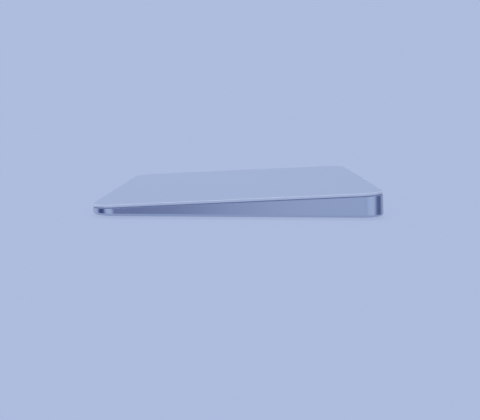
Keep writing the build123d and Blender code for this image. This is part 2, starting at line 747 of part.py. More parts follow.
def actuator_flex():
    """Lead from the actuator, along the channel between the cells, to the main board."""
    low = FLOOR_TOP + RIBBON_T / 2
    high = BOARD_TOP + CONNECTOR_H + RIBBON_T / 2
    rise = GUARD_Y - GUARD_DEPTH / 2 - GUARD_GAP
    points = (
        (y_of(ACT_FRONT_V + ACT_LENGTH, BRACKET_SEAT), low),
        (rise - (high - low), low),
        (rise, high),
        (CONNECTOR_Y + CONNECTOR_DEPTH / 2, high),
    )
    return ribbon(points, RIBBON_WIDTH)


# Battery
def battery_cell(side):
    """Flat pouch cell with its sealed ledge towards the rear."""
    body_length = CELL_LENGTH - TERRACE_LENGTH
    body = floor_slab(plate(CELL_WIDTH, body_length, CELL_CORNER), CELL_BASE, CELL_TOP)
    ends = body.faces().sort_by(Axis.Z)
    body = chamfer(ends[0].edges() + ends[-1].edges(), CELL_CHAMFER)
    outline = Rectangle(CELL_WIDTH - 2 * CELL_CORNER, 2 * TERRACE_LENGTH)
    ledge = floor_slab(outline, CELL_BASE, TERRACE_TOP, 0, body_length / 2)
    return Pos(side * CELL_X, CELL_FRONT + body_length / 2) * (body + ledge)


def battery_adhesives():
    strip = Rectangle(CELL_GLUE_WIDTH, CELL_LENGTH - 2 * (TERRACE_LENGTH + CELL_CHAMFER))
    y = CELL_FRONT + CELL_LENGTH / 2 - TERRACE_LENGTH / 2
    spread = CELL_WIDTH / 4
    places = [side * CELL_X + end * spread for side in SIDES for end in SIDES]
    return group(floor_slab(strip, FLOOR_TOP, CELL_BASE, x, y) for x in places)


def tab_places():
    inner = CELL_INNER_X + CELL_CORNER + TAB_WIDTH
    outer = GUARD_WIDTH / 2 - TAB_WIDTH
    return [side * x for side in SIDES for x in (inner, outer)]


def cell_tabs():
    front = CELL_REAR - TAB_REACH
    rear = GUARD_Y - GUARD_DEPTH / 2 + TAB_REACH
    strip = Rectangle(TAB_WIDTH, rear - front)
    y = (front + rear) / 2
    return group(floor_slab(strip, TERRACE_TOP, TERRACE_TOP + TAB_T, x, y) for x in tab_places())


def protection_board():
    return floor_slab(Rectangle(GUARD_WIDTH, GUARD_DEPTH), GUARD_BASE, TERRACE_TOP, 0, GUARD_Y)


def protection_chips():
    """Cell monitor and its two switching transistors, on the protection board."""
    chip = Rectangle(SMALL_CHIP, SMALL_CHIP * 2 / 3)
    places = [share * GUARD_WIDTH / 2 for share in GUARD_CHIP_SHARES]
    return group(floor_slab(chip, TERRACE_TOP, TERRACE_TOP + CHIP_H, x, GUARD_Y) for x in places)


def battery_lead():
    low = TERRACE_TOP + RIBBON_T / 2
    high = BOARD_TOP + CONNECTOR_H + RIBBON_T / 2
    points = (
        (GUARD_Y, low),
        (GUARD_REAR - GUARD_GAP, low),
        (BOARD_FRONT + GUARD_GAP, high),
        (CONNECTOR_Y + CONNECTOR_DEPTH / 2, high),
    )
    return ribbon(points, RIBBON_WIDTH, BATTERY_LEAD_SHARE * BOARD_HALF)


# Main board
def main_board():
    outline = plate(2 * BOARD_HALF, BOARD_DEPTH, BOARD_CORNER)
    board = floor_slab(outline, BOARD_BOTTOM, BOARD_TOP, 0, BOARD_Y)
    for x, y in list(post_places()) + list(strap_places()):
        board -= floor_slab(Circle(SCREW_R + SCREW_CLEAR), BOARD_BOTTOM, BOARD_TOP, x, y)
    return board


def main_chips():
    chips = []
    for number, (x_share, y_share) in enumerate(CHIP_PLACE_SHARES):
        size = LARGE_CHIP if number % 2 == 0 else SMALL_CHIP
        chip = chamfer(
            floor_slab(Rectangle(size, size), BOARD_TOP, BOARD_TOP + CHIP_H).edges().filter_by(Axis.Z),
            CHIP_STANDOFF,
        )
        chips.append(Pos(x_share * BOARD_HALF, BOARD_Y + y_share * BOARD_DEPTH) * chip)
    return group(chips)


def board_shield():
    """Stamped can, open below, over the radio chips."""
    can = floor_slab(plate(SHIELD_WIDTH, SHIELD_DEPTH, SHIELD_CORNER), BOARD_TOP, BOARD_TOP + SHIELD_H)
    can = chamfer(can.faces().sort_by(Axis.Z)[-1].edges(), SHIELD_T)
    inner = plate(SHIELD_WIDTH - 2 * SHIELD_T, SHIELD_DEPTH - 2 * SHIELD_T, SHIELD_CORNER - SHIELD_T)
    can -= floor_slab(inner, BOARD_TOP, BOARD_TOP + SHIELD_H - SHIELD_T)
    return Pos(SHIELD_PLACE_SHARE * BOARD_HALF, BOARD_Y) * can


def board_connectors():
    places = [0, BATTERY_LEAD_SHARE * BOARD_HALF, TOUCH_LEAD_SHARE * BOARD_HALF]
    solids = []
    for x in places:
        socket = Rectangle(CONNECTOR_WIDTH, CONNECTOR_DEPTH)
        solids.append(floor_slab(socket, BOARD_TOP, BOARD_TOP + CONNECTOR_H, x, CONNECTOR_Y))
    for side in SIDES:
        socket = Rectangle(SENSOR_RIBBON_WIDTH, CONNECTOR_DEPTH)
        solids.append(floor_slab(socket, BOARD_TOP, BOARD_TOP + CONNECTOR_H, side * WAIST_X, CONNECTOR_Y))
    return group(solids)


def board_screws():
    return group(Pos(x, y, BOARD_TOP) * screw(BOARD_T) for x, y in post_places())


# Antenna
def antenna_y():
    return BOARD_REAR - ANTENNA_DEPTH / 2 - ANTENNA_MARGIN


def antenna_carrier():
    block = floor_slab(plate(ANTENNA_WIDTH, ANTENNA_DEPTH, ANTENNA_ROUND), BOARD_TOP, BOARD_TOP + ANTENNA_H)
    return Pos(ANTENNA_X, antenna_y()) * block


def antenna_element():
    """Thin strip on the carrier, slit from both edges in turn into a meander."""
    width = ANTENNA_WIDTH - 2 * ANTENNA_MARGIN
    depth = ANTENNA_DEPTH - 2 * ANTENNA_MARGIN
    strip = Rectangle(width, depth)
    for step in range(ANTENNA_SLITS):
        x = width * ((step + 1) / (ANTENNA_SLITS + 1) - 1 / 2)
        y = ANTENNA_SLIT if step % 2 == 0 else -ANTENNA_SLIT
        strip -= Pos(x, y) * Rectangle(ANTENNA_SLIT, depth)
    top = BOARD_TOP + ANTENNA_H
    return floor_slab(strip, top, top + ANTENNA_STRIP_T, ANTENNA_X, antenna_y())


# Port
def usb_port_shell():
    outer = plate(PORT_WIDTH, PORT_H, PORT_ROUND)
    inner = plate(PORT_WIDTH - 2 * PORT_WALL, PORT_H - 2 * PORT_WALL, PORT_ROUND - PORT_WALL)
    return forward_bar(outer - inner, PORT_MOUTH, PORT_LENGTH, 0, PORT_Z)


def usb_port_insert():
    """Moulded back of the socket with the contact tongue in one piece."""
    inner = plate(PORT_WIDTH - 2 * PORT_WALL, PORT_H - 2 * PORT_WALL, PORT_ROUND - PORT_WALL)
    back = forward_bar(inner, PORT_MOUTH - PORT_LENGTH + PORT_BACK, PORT_BACK, 0, PORT_Z)
    tongue = forward_bar(
        Rectangle(TONGUE_WIDTH, TONGUE_T),
        PORT_MOUTH - TONGUE_SETBACK,
        PORT_LENGTH - TONGUE_SETBACK - PORT_BACK / 2,
        0,
        PORT_Z,
    )
    return back + tongue


def port_strap():
    """Bent strap that holds the socket down on the board."""
    inner_width = PORT_WIDTH + 2 * STRAP_CLEAR
    inner_height = PORT_H + STRAP_CLEAR
    base = (Align.CENTER, Align.MIN)
    hat = Rectangle(inner_width + 2 * STRAP_T, inner_height + STRAP_T, align=base)
    hat += Rectangle(inner_width + 2 * (STRAP_T + STRAP_EAR), STRAP_T, align=base)
    hat -= Rectangle(inner_width, inner_height, align=base)
    strap = forward_bar(hat, STRAP_Y, STRAP_DEPTH, 0, BOARD_TOP)
    for x, y in strap_places():
        strap -= floor_slab(Circle(SCREW_R + SCREW_CLEAR), BOARD_TOP, BOARD_TOP + STRAP_T, x, y)
    return strap


def strap_screws():
    length = BOARD_T + STRAP_T
    return group(Pos(x, y, BOARD_TOP + STRAP_T) * screw(length) for x, y in strap_places())


# Power switch
def power_slider():
    """Cap in the recess, with a stem through the wall into the switch."""
    inner = RECESS_DEPTH - CAP_GAP
    rest = -SWITCH_TRAVEL / 2
    cap = in_rear_wall(SlotOverall(CAP_LENGTH, RECESS_H - 2 * CAP_CLEAR), CAP_SETBACK, inner, rest)
    outward = Axis(DECK.origin, DECK.y_dir)
    cap = chamfer(cap.faces().sort_by(outward)[-1].edges(), CAP_CHAMFER)
    dish = SlotOverall(CAP_LENGTH - 2 * CAP_DISH_RIM, RECESS_H - 2 * CAP_CLEAR - 2 * CAP_DISH_RIM)
    cap -= in_rear_wall(dish, 0, CAP_SETBACK + CAP_DISH_DEPTH, rest)
    tip = WALL + SWITCH_WALL_GAP + STEM_REACH
    stem = in_rear_wall(Rectangle(STEM_WIDTH, STEM_H), inner - CAP_GAP, tip, rest)
    return cap + stem


def power_switch_body():
    rear = rear_wall_y(WALL, PORT_Z + PORT_H / 2) - SWITCH_WALL_GAP
    block = forward_bar(Rectangle(SWITCH_BODY_WIDTH, PORT_H), rear, SWITCH_BODY_DEPTH, SWITCH_X, PORT_Z)
    lane = in_rear_wall(switch_slot(), WALL, WALL + SWITCH_WALL_GAP + STEM_REACH + 2 * SLOT_CLEAR)
    return block - lane


def switch_film():
    """Green film on the floor of the recess, at the end that the slider uncovers."""
    outline = SlotOverall(RECESS_LENGTH - 2 * FILM_T, RECESS_H - 2 * FILM_T)
    length = (CAP_LENGTH - STEM_WIDTH) / 2 - SLOT_CLEAR + CAP_CLEAR
    keep = Pos((length - RECESS_LENGTH) / 2, 0) * Rectangle(length, RECESS_H)
    return in_rear_wall(outline & keep, RECESS_DEPTH - FILM_T, RECESS_DEPTH)


def build():
    nodes = {"housing": housing()}
    for name, x, y in foot_places():
        nodes[f"foot_{name}"] = foot(x, y)
    nodes["foot_adhesives"] = foot_adhesives()
    for side in SIDES:
        nodes[f"battery_cell_{SIDE_NAMES[side]}"] = battery_cell(side)
    nodes["battery_adhesives"] = battery_adhesives()
    nodes["cell_tabs"] = cell_tabs()
    nodes["protection_board"] = protection_board()
    nodes["protection_chips"] = protection_chips()
    nodes["battery_lead"] = battery_lead()
    nodes["main_board"] = main_board()
    nodes["main_chips"] = main_chips()
    nodes["board_shield"] = board_shield()
    nodes["board_connectors"] = board_connectors()
    nodes["board_screws"] = board_screws()
    nodes["antenna_carrier"] = antenna_carrier()
    nodes["antenna_element"] = antenna_element()
    nodes["usb_port_shell"] = usb_port_shell()
    nodes["usb_port_insert"] = usb_port_insert()
    nodes["port_strap"] = port_strap()
    nodes["strap_screws"] = strap_screws()
    nodes["power_switch_body"] = power_switch_body()
    nodes["power_slider"] = power_slider()
    nodes["switch_film"] = switch_film()
    nodes["actuator_bracket"] = actuator_bracket()
    nodes["actuator_core"] = actuator_core()
    nodes["actuator_coils"] = actuator_coils()
    nodes["actuator_screws"] = actuator_screws()
    nodes["actuator_flex"] = actuator_flex()
    for name, v in FLEX_PLACES.items():
        for side in SIDES:
            nodes[f"bending_plate_{name}_{SIDE_NAMES[side]}"] = bending_plate(side, v)
    nodes["flexure_screws"] = flexure_screws()
    nodes["strain_gauges"] = strain_gauges()
    for side in SIDES:
        nodes[f"sensor_flex_{SIDE_NAMES[side]}"] = sensor_flex(side)
    nodes["gel_plates"] = gel_plates()
    for name, x, v in pad_places():
        nodes[f"gel_pad_{name}"] = gel_pad(x, v)
    nodes["touch_glass"] = touch_glass()
    nodes["glass_adhesive"] = glass_adhesive()
    nodes["touch_board"] = touch_board()
    nodes["stiffener_plate"] = stiffener_plate()
    nodes["touch_chips"] = touch_chips()
    nodes["attraction_bar"] = attraction_bar()
    nodes["touch_flex"] = touch_flex()
    nodes["edge_seal"] = edge_seal()
    return nodes


os.makedirs("parts", exist_ok=True)
for node_name, shape in build().items():
    export_step(shape, f"parts/{node_name}.step")
print("tilt in degrees", round(degrees(TILT), 3))
print("cell length and thickness", round(CELL_LENGTH, 2), round(CELL_TOP - CELL_BASE, 2))
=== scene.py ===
import json
from math import cos, pi, radians

import bmesh
import bpy
from mathutils import Matrix, Vector


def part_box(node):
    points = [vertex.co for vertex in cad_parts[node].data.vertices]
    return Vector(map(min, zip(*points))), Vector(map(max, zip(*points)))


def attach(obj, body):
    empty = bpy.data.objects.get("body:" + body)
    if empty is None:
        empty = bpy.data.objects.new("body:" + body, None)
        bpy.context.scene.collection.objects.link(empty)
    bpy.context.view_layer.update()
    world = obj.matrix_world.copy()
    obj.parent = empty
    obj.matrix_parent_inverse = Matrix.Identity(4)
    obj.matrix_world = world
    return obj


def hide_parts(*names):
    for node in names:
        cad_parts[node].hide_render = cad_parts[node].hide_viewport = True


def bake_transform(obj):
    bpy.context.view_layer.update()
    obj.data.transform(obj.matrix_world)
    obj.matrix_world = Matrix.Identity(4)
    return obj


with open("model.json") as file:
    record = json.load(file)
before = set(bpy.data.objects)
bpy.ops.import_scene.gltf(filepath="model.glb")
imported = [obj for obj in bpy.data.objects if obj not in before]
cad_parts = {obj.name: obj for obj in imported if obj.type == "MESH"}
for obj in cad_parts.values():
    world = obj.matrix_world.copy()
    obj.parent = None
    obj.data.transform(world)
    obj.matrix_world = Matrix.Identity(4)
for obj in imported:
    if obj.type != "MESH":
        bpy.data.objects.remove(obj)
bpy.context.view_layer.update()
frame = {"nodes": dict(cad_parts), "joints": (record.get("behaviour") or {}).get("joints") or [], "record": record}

bl_info = {
    "name": "Desk Trackpad",
    "version": (1, 0, 0),
    "blender": (4, 5, 0),
    "location": "View3D > Sidebar > Trackpad",
    "description": "Models and finishes a glass-topped trackpad over its CAD frame, in a plain studio",
    "category": "Object",
}

# The touch surface is tilted: its own up is the press joint's axis, turned round
PRESS = next(joint for joint in frame["joints"] if joint["name"] == "surface_press")
DECK = Vector((0, 0, 1)).rotation_difference(-Vector(PRESS["axis"])).to_matrix().to_4x4()
# Axes for what is set into the rear: their z points out to the rear
REAR = Matrix.Rotation(radians(-90), 4, "X")
REAR_WALL = DECK @ REAR

MM = 0.001
# Points and heights nearer than this, in metres, are the same
SAME = 1e-7
# Vertices of a CAD mesh nearer than this are joined
CAD_JOIN = 1e-6

# The studio's walls, as metal and glass show them: how light each is, by its angle round from +X in degrees
WALL_LEVELS = (
    (-180, 0.95), (-172, 0.95), (-150, 0.7), (-122, 0.9), (-103, 0.85), (-89, 0.0), (-65, 0.0), (-50, 1.0),
    (-26, 1.0), (-13, 0.33), (-6, 0.18), (1, 0.87), (12, 0.86), (34, 0.78), (45, 1.0), (70, 1.0),
    (95, 0.16), (117, 0.13), (128, 0.6), (138, 0.67), (160, 0.44), (175, 0.91), (180, 0.95),
)


def tint(red, green, blue):
    """Scene-linear colour for a colour given as the eye sees it, 0 to 255."""
    levels = [value / 255 for value in (red, green, blue)]
    return tuple(v / 12.92 if v <= 0.04045 else ((v + 0.055) / 1.055) ** 2.4 for v in levels)


def colour_prop(name, description, default):
    return bpy.props.FloatVectorProperty(
        name=name, description=description, default=default, subtype="COLOR", size=3, min=0.0, max=1.0
    )


def length_prop(name, description, default):
    return bpy.props.FloatProperty(
        name=name, description=description, default=default, min=0.0, precision=5, unit="LENGTH"
    )


def share_prop(name, description, default):
    return bpy.props.FloatProperty(
        name=name, description=description, default=default, min=0.0, max=1.0, subtype="FACTOR"
    )


# Sizes and colours that a user would change


class StageSettings(bpy.types.PropertyGroup):
    floor_colour: colour_prop("Floor", "Colour of the floor and of the backdrop", tint(174, 188, 222))
    deep_colour: colour_prop("Deep wall", "Darkest colour of the walls that metal shows", tint(70, 82, 136))
    light_colour: colour_prop("Light wall", "Lightest colour of those walls", tint(210, 220, 242))
    wall_top: share_prop("Wall top", "Slant, up or down, at which the walls start to end", 0.22)
    overhead_start: share_prop("Overhead start", "Slant at which nothing of the walls is left", 0.5)
    overhead_level: share_prop("Overhead level", "How light the studio is high above and far below", 0.75)
    floor_reach: length_prop("Floor reach", "Distance from the middle of the floor to its edge", 6.0)
    shadow_lift: share_prop("Shadow lift", "How much of the floor's own colour shows in its shadows", 0.86)
    key_level: bpy.props.FloatProperty(
        name="Key level", description="Share of full light that comes from the soft overhead key", default=0.5
    )
    fill_level: bpy.props.FloatProperty(
        name="Fill level", description="Share of full light that comes evenly from all round", default=0.5
    )
    key_softness: bpy.props.FloatProperty(
        name="Key softness", description="Width of the key light as seen from the desk",
        default=radians(50), subtype="ANGLE",
    )
    key_turn: bpy.props.FloatVectorProperty(
        name="Key turn", description="Direction the key light shines from", size=3, subtype="EULER",
        default=(radians(4), radians(2), 0.0),
    )
    camera_place: bpy.props.FloatVectorProperty(
        name="Camera place", description="Where the camera stands", size=3, subtype="TRANSLATION",
        default=(0.4220, 0.0026, 0.0431),
    )
    camera_turn: bpy.props.FloatVectorProperty(
        name="Camera turn", description="How the camera is turned", size=3, subtype="EULER",
        default=(radians(83.43), radians(-0.35), radians(90.34)),
    )
    camera_lens: bpy.props.FloatProperty(
        name="Lens", description="Focal length in millimetres on a 36 mm sensor", default=67.05
    )


class GlassSettings(bpy.types.PropertyGroup):
    face_colour: colour_prop("Face", "Colour of the coat under the etched glass", tint(151, 170, 207))
    # The edge colour, much lighter than the face, is a painted highlight along the glass edge
    edge_highlight_colour: colour_prop("Edge", "Colour of the polished edge", tint(216, 228, 252))
    edge_round: length_prop("Edge round", "Radius of the top edge", 0.3 * MM)
    under_chamfer: length_prop("Under chamfer", "Chamfer of the lower edge", 0.12 * MM)
    plan_corner: length_prop("Plan corner", "Radius of the corners seen from above", 9.95 * MM)
    roughness: share_prop("Roughness", "How matt the etched face is", 0.42)


class TraySettings(bpy.types.PropertyGroup):
    metal_colour: colour_prop("Metal", "Colour of the anodised aluminium", tint(186, 198, 221))
    roughness: share_prop("Roughness", "How matt the blasted metal is", 0.2)
    grain_size: length_prop("Grain size", "Size of the blasted grain", 0.12 * MM)
    grain_depth: length_prop("Grain depth", "Depth of the blasted grain", 0.006 * MM)
    # The seal's pale colour is painted light: it lifts the shade in the gap under the glass
    seal_gap_lightened_colour: colour_prop("Seal", "Colour of the seal under the glass", tint(160, 172, 208))


class FootSettings(bpy.types.PropertyGroup):
    colour: colour_prop("Rubber", "Colour of the feet", tint(168, 180, 210))
    edge_round: length_prop("Edge round", "Radius of the lower edge", 0.35 * MM)
    groove_inset: length_prop("Groove inset", "Distance from the rim to the ring groove", 0.9 * MM)
    groove_width: length_prop("Groove width", "Width of the ring groove", 0.25 * MM)
    groove_depth: length_prop("Groove depth", "Depth of the ring groove", 0.08 * MM)


class PortSettings(bpy.types.PropertyGroup):
    shell_colour: colour_prop("Shell", "Colour of the socket's steel shell", tint(186, 190, 200))
    tongue_colour: colour_prop("Tongue", "Colour of the moulded tongue", tint(52, 53, 58))
    contact_colour: colour_prop("Contacts", "Colour of the plated contacts", tint(222, 184, 112))
    shell_wall: length_prop("Shell wall", "Thickness of the shell", 0.3 * MM)
    shell_corner: length_prop("Shell corner", "Outer radius of the shell's corners", 1.3 * MM)
    lip_round: length_prop("Lip round", "Radius of the mouth's edges", 0.08 * MM)
    edge_round: length_prop("Edge round", "Radius of the tongue's edges", 0.12 * MM)
    contact_pitch: length_prop("Contact pitch", "Distance between contacts", 0.5 * MM)
    contact_width: length_prop("Contact width", "Width of one contact", 0.26 * MM)
    contact_step: length_prop("Contact step", "How far a contact stands out of the tongue", 0.015 * MM)
    contact_start: length_prop("Contact start", "Distance from the tip to the first contacts", 0.4 * MM)
    contact_late: length_prop("Contact late", "How much later the signal contacts start", 0.35 * MM)
    contact_length: length_prop("Contact length", "Length of the first contacts", 4.2 * MM)
    contact_bite: share_prop("Contact bite", "Share of the tongue's half thickness it is set in", 0.1)
    contact_count: bpy.props.IntProperty(
        name="Contact count", description="Contacts on each side of the tongue", default=12, min=1, max=24
    )
    tongue_width: length_prop("Tongue width", "Width of the tongue", 6.69 * MM)
    tongue_height: length_prop("Tongue height", "Thickness of the tongue over its contacts", 0.7 * MM)
    tongue_corner: length_prop("Tongue corner", "Radius of the tongue's front corners", 0.5 * MM)
    back_length: length_prop("Back length", "Length of the moulded block behind the tongue", 1.0 * MM)


class SwitchSettings(bpy.types.PropertyGroup):
    slider_colour: colour_prop("Slider", "Colour of the slider", tint(206, 212, 224))
    film_colour: colour_prop("Film", "Colour of the film that shows when the switch is on", tint(84, 196, 96))
    cap_height: length_prop("Cap height", "Thickness of the cap", 0.55 * MM)
    edge_round: length_prop("Edge round", "Radius of the cap's front edge", 0.15 * MM)
    dish_rim: length_prop("Dish rim", "Width of the flat rim round the cap's dish", 0.25 * MM)
    dish_slope: length_prop("Dish slope", "Width of the dish's sloping border", 0.5 * MM)
    dish_depth: length_prop("Dish depth", "Depth of the cap's dish", 0.1 * MM)
    stem_width: length_prop("Stem width", "Width of the stem through the wall", 1.4 * MM)
    stem_height: length_prop("Stem height", "Height of the stem through the wall", 1.0 * MM)


class InnerSettings(bpy.types.PropertyGroup):
    board_colour: colour_prop("Boards", "Colour of the solder mask", tint(26, 70, 60))
    track_colour: colour_prop("Tracks", "Colour of tracks under the mask", tint(58, 116, 92))
    foil_colour: colour_prop("Cell foil", "Colour of the battery pouches", tint(92, 94, 102))
    amber_colour: colour_prop("Flexible print", "Colour of the flexible leads", tint(176, 104, 40))
    copper_colour: colour_prop("Copper", "Colour of the coil wire and antenna", tint(212, 138, 88))
    steel_colour: colour_prop("Steel", "Colour of springs, core and screws", tint(176, 179, 186))
    tin_colour: colour_prop("Tinned sheet", "Colour of the shield can and strap", tint(202, 205, 210))
    chip_colour: colour_prop("Chips", "Colour of the moulded chips", tint(40, 41, 46))
    cream_colour: colour_prop("Connectors", "Colour of the connector mouldings", tint(224, 216, 196))
    bend_start: length_prop("Bend start", "Distance from the middle where a spring plate bends", 67.4 * MM)
    bend_end: length_prop("Bend end", "Distance from the middle where its free end begins", 65.0 * MM)
    lead_fixed_share: share_prop("Lead fixed", "Share of the touch lead's depth that stays put", 0.69)
    lead_moving_share: share_prop("Lead moving", "Share of its depth where the touch plate moves it", 0.38)


SETTINGS = {
    "trackpad_stage": StageSettings,
    "trackpad_glass": GlassSettings,
    "trackpad_tray": TraySettings,
    "trackpad_feet": FootSettings,
    "trackpad_port": PortSettings,
    "trackpad_switch": SwitchSettings,
    "trackpad_inner": InnerSettings,
}


# Shader node groups

FLOAT, COLOUR, VECTOR = "NodeSocketFloat", "NodeSocketColor", "NodeSocketVector"


def add_node(tree, kind, values=None, **settings):
    """New shader node with these settings, and even values on its own sockets."""
    node = tree.nodes.new("ShaderNode" + kind)
    for name, value in settings.items():
        setattr(node, name, value)
    for label, value in (values or {}).items():
        node.inputs[label].default_value = value
    return node


def wire(tree, *rows):
    """Links sockets; each row gives a node, its output, the next node and its input."""
    for source, output, target, socket in rows:
        tree.links.new(source.outputs[output], target.inputs[socket])


def start_group(name, inputs, outputs):
    """Empty node group with named sockets, its input and output nodes, and its place on the object."""
    group = bpy.data.node_groups.new(name, "ShaderNodeTree")
    for label, kind, default in inputs:
        socket = group.interface.new_socket(label, in_out="INPUT", socket_type=kind)
        socket.default_value = default
    for label, kind in outputs:
        group.interface.new_socket(label, in_out="OUTPUT", socket_type=kind)
    given, out = group.nodes.new("NodeGroupInput"), group.nodes.new("NodeGroupOutput")
    return group, given, out, add_node(group, "TexCoord")


def grain_group():
    """Even fine grain, as on blasted metal, etched glass and moulded plastic."""
    group, given, out, place = start_group(
        "Fine Grain",
        [("Scale", FLOAT, 4000.0), ("Low", FLOAT, 0.3), ("High", FLOAT, 0.5)],
        [("Height", FLOAT), ("Value", FLOAT)],
    )
    noise = add_node(group, "TexNoise", {"Detail": 2.0})
    spread = add_node(group, "MapRange")
    wire(
        group,
        (place, "Object", noise, "Vector"),
        (given, "Scale", noise, "Scale"),
        (noise, "Fac", spread, "Value"),
        (given, "Low", spread, "To Min"),
        (given, "High", spread, "To Max"),
        (noise, "Fac", out, "Height"),
        (spread, "Result", out, "Value"),
    )
    return group


def mottle_group():
    """Slow, faint change of a colour across a surface."""
    group, given, out, place = start_group(
        "Soft Mottle",
        [("Colour", COLOUR, (0.5, 0.5, 0.5, 1.0)), ("Scale", FLOAT, 40.0), ("Amount", FLOAT, 0.1)],
        [("Colour", COLOUR)],
    )
    noise = add_node(group, "TexNoise", {"Detail": 4.0})
    darker = add_node(group, "HueSaturation")
    drop = add_node(group, "Math", {0: 1.0}, operation="SUBTRACT")
    mix = add_node(group, "Mix", data_type="RGBA")
    wire(
        group,
        (place, "Object", noise, "Vector"),
        (given, "Scale", noise, "Scale"),
        (given, "Amount", drop, 1),
        (drop, "Value", darker, "Value"),
        (given, "Colour", darker, "Color"),
        (noise, "Fac", mix, "Factor"),
        (given, "Colour", mix, "A"),
        (darker, "Color", mix, "B"),
        (mix, "Result", out, "Colour"),
    )
    return group


def brushed_group():
    """Long fine lines, as on rolled or brushed sheet."""
    group, given, out, place = start_group(
        "Brushed Lines",
        [
            ("Stretch", VECTOR, (1.0, 60.0, 60.0)),
            ("Scale", FLOAT, 80.0),
            ("Low", FLOAT, 0.25),
            ("High", FLOAT, 0.45),
        ],
        [("Height", FLOAT), ("Value", FLOAT)],
    )
    stretch = add_node(group, "Mapping")
    noise = add_node(group, "TexNoise", {"Detail": 3.0})
    spread = add_node(group, "MapRange")
    wire(
        group,
        (place, "Object", stretch, "Vector"),
        (given, "Stretch", stretch, "Scale"),
        (stretch, "Vector", noise, "Vector"),
        (given, "Scale", noise, "Scale"),
        (noise, "Fac", spread, "Value"),
        (given, "Low", spread, "To Min"),
        (given, "High", spread, "To Max"),
        (noise, "Fac", out, "Height"),
        (spread, "Result", out, "Value"),
    )
    return group


def tracks_group():
    """Copper tracks and pads that show through a solder mask or a cover film."""
    group, given, out, place = start_group(
        "Board Tracks",
        [
            ("Mask", COLOUR, (0.02, 0.08, 0.06, 1.0)),
            ("Track", COLOUR, (0.06, 0.2, 0.14, 1.0)),
            ("Scale", FLOAT, 900.0),
        ],
        [("Colour", COLOUR), ("Height", FLOAT)],
    )
    tracks = add_node(
        group, "TexBrick", {"Mortar Size": 0.09, "Mortar Smooth": 0.2, "Brick Width": 1.7},
        offset=0.35, squash=2.2, squash_frequency=3,
    )
    # Larger square regions, some of them without tracks
    patches = add_node(group, "TexVoronoi", feature="F1", distance="CHEBYCHEV")
    region = add_node(group, "Math", {1: 0.18}, operation="MULTIPLY")
    cut = add_node(group, "Math", {1: 0.34}, operation="GREATER_THAN")
    shown = add_node(group, "Math", operation="MULTIPLY")
    mix = add_node(group, "Mix", data_type="RGBA")
    wire(
        group,
        (place, "Object", tracks, "Vector"),
        (place, "Object", patches, "Vector"),
        (given, "Scale", tracks, "Scale"),
        (given, "Scale", region, 0),
        (region, "Value", patches, "Scale"),
        (patches, "Distance", cut, 0),
        (tracks, "Fac", shown, 0),
        (cut, "Value", shown, 1),
        (shown, "Value", mix, "Factor"),
        (given, "Mask", mix, "A"),
        (given, "Track", mix, "B"),
        (mix, "Result", out, "Colour"),
        (shown, "Value", out, "Height"),
    )
    return group


def crinkle_group():
    """Shallow dents and creases of a foil pouch."""
    group, given, out, place = start_group(
        "Foil Crinkle", [("Scale", FLOAT, 160.0)], [("Height", FLOAT), ("Value", FLOAT)]
    )
    bend = add_node(group, "TexNoise", {"Detail": 3.0})
    creases = add_node(group, "TexVoronoi", feature="SMOOTH_F1")
    join = add_node(group, "Math", operation="ADD")
    spread = add_node(group, "MapRange", {"To Min": 0.28, "To Max": 0.46})
    wire(
        group,
        (place, "Object", bend, "Vector"),
        (place, "Object", creases, "Vector"),
        (given, "Scale", bend, "Scale"),
        (given, "Scale", creases, "Scale"),
        (bend, "Fac", join, 0),
        (creases, "Distance", join, 1),
        (join, "Value", out, "Height"),
        (bend, "Fac", spread, "Value"),
        (spread, "Result", out, "Value"),
    )
    return group


def layers_group():
    """Parallel ridges, as of wound wire or stacked sheets; the darker Groove colour in the troughs is painted
    shade.
    """
    group, given, out, place = start_group(
        "Ridged Layers",
        [
            ("Colour", COLOUR, (0.5, 0.2, 0.1, 1.0)),
            ("Groove", COLOUR, (0.1, 0.03, 0.01, 1.0)),
            ("Turn", VECTOR, (0.0, 0.0, 0.0)),
            ("Scale", FLOAT, 3000.0),
        ],
        [("Colour", COLOUR), ("Height", FLOAT)],
    )
    turn = add_node(group, "Mapping")
    ridges = add_node(group, "TexWave", {"Distortion": 0.4, "Detail": 1.0})
    mix = add_node(group, "Mix", data_type="RGBA")
    wire(
        group,
        (place, "Object", turn, "Vector"),
        (given, "Turn", turn, "Rotation"),
        (turn, "Vector", ridges, "Vector"),
        (given, "Scale", ridges, "Scale"),
        (ridges, "Fac", mix, "Factor"),
        (given, "Groove", mix, "A"),
        (given, "Colour", mix, "B"),
        (mix, "Result", out, "Colour"),
        (ridges, "Fac", out, "Height"),
    )
    return group


GROUP_MAKERS = {
    "Fine Grain": grain_group,
    "Soft Mottle": mottle_group,
    "Brushed Lines": brushed_group,
    "Board Tracks": tracks_group,
    "Foil Crinkle": crinkle_group,
    "Ridged Layers": layers_group,
}


# Materials

# Scale at which the wave texture has ridges one metre apart
WAVE_SCALE = 0.314


def place_group(tree, name, **values):
    """Node of a shared group in this material, with its inputs set by name."""
    group = bpy.data.node_groups.get(name) or GROUP_MAKERS[name]()
    node = add_node(tree, "Group", node_tree=group)
    for label, value in values.items():
        socket = node.inputs[label]
        socket.default_value = (*value, 1.0) if socket.type == "RGBA" else value
    return node


def start_material(name, roughness, metallic=0.0, **sockets):
    """New material with a Principled shader whose even values are set on its own sockets."""
    material = bpy.data.materials.new(name)
    material.use_nodes = True
    shader = material.node_tree.nodes["Principled BSDF"]
    shader.inputs["Roughness"].default_value = roughness
    shader.inputs["Metallic"].default_value = metallic
    for label, value in sockets.items():
        shader.inputs[label.replace("_", " ")].default_value = value
    return material, material.node_tree, shader


def add_mottle(tree, shader, colour, scale, amount):
    """Base colour that changes slowly and faintly over the surface."""
    mottle = place_group(tree, "Soft Mottle", Colour=colour, Scale=scale, Amount=amount)
    wire(tree, (mottle, "Colour", shader, "Base Color"))


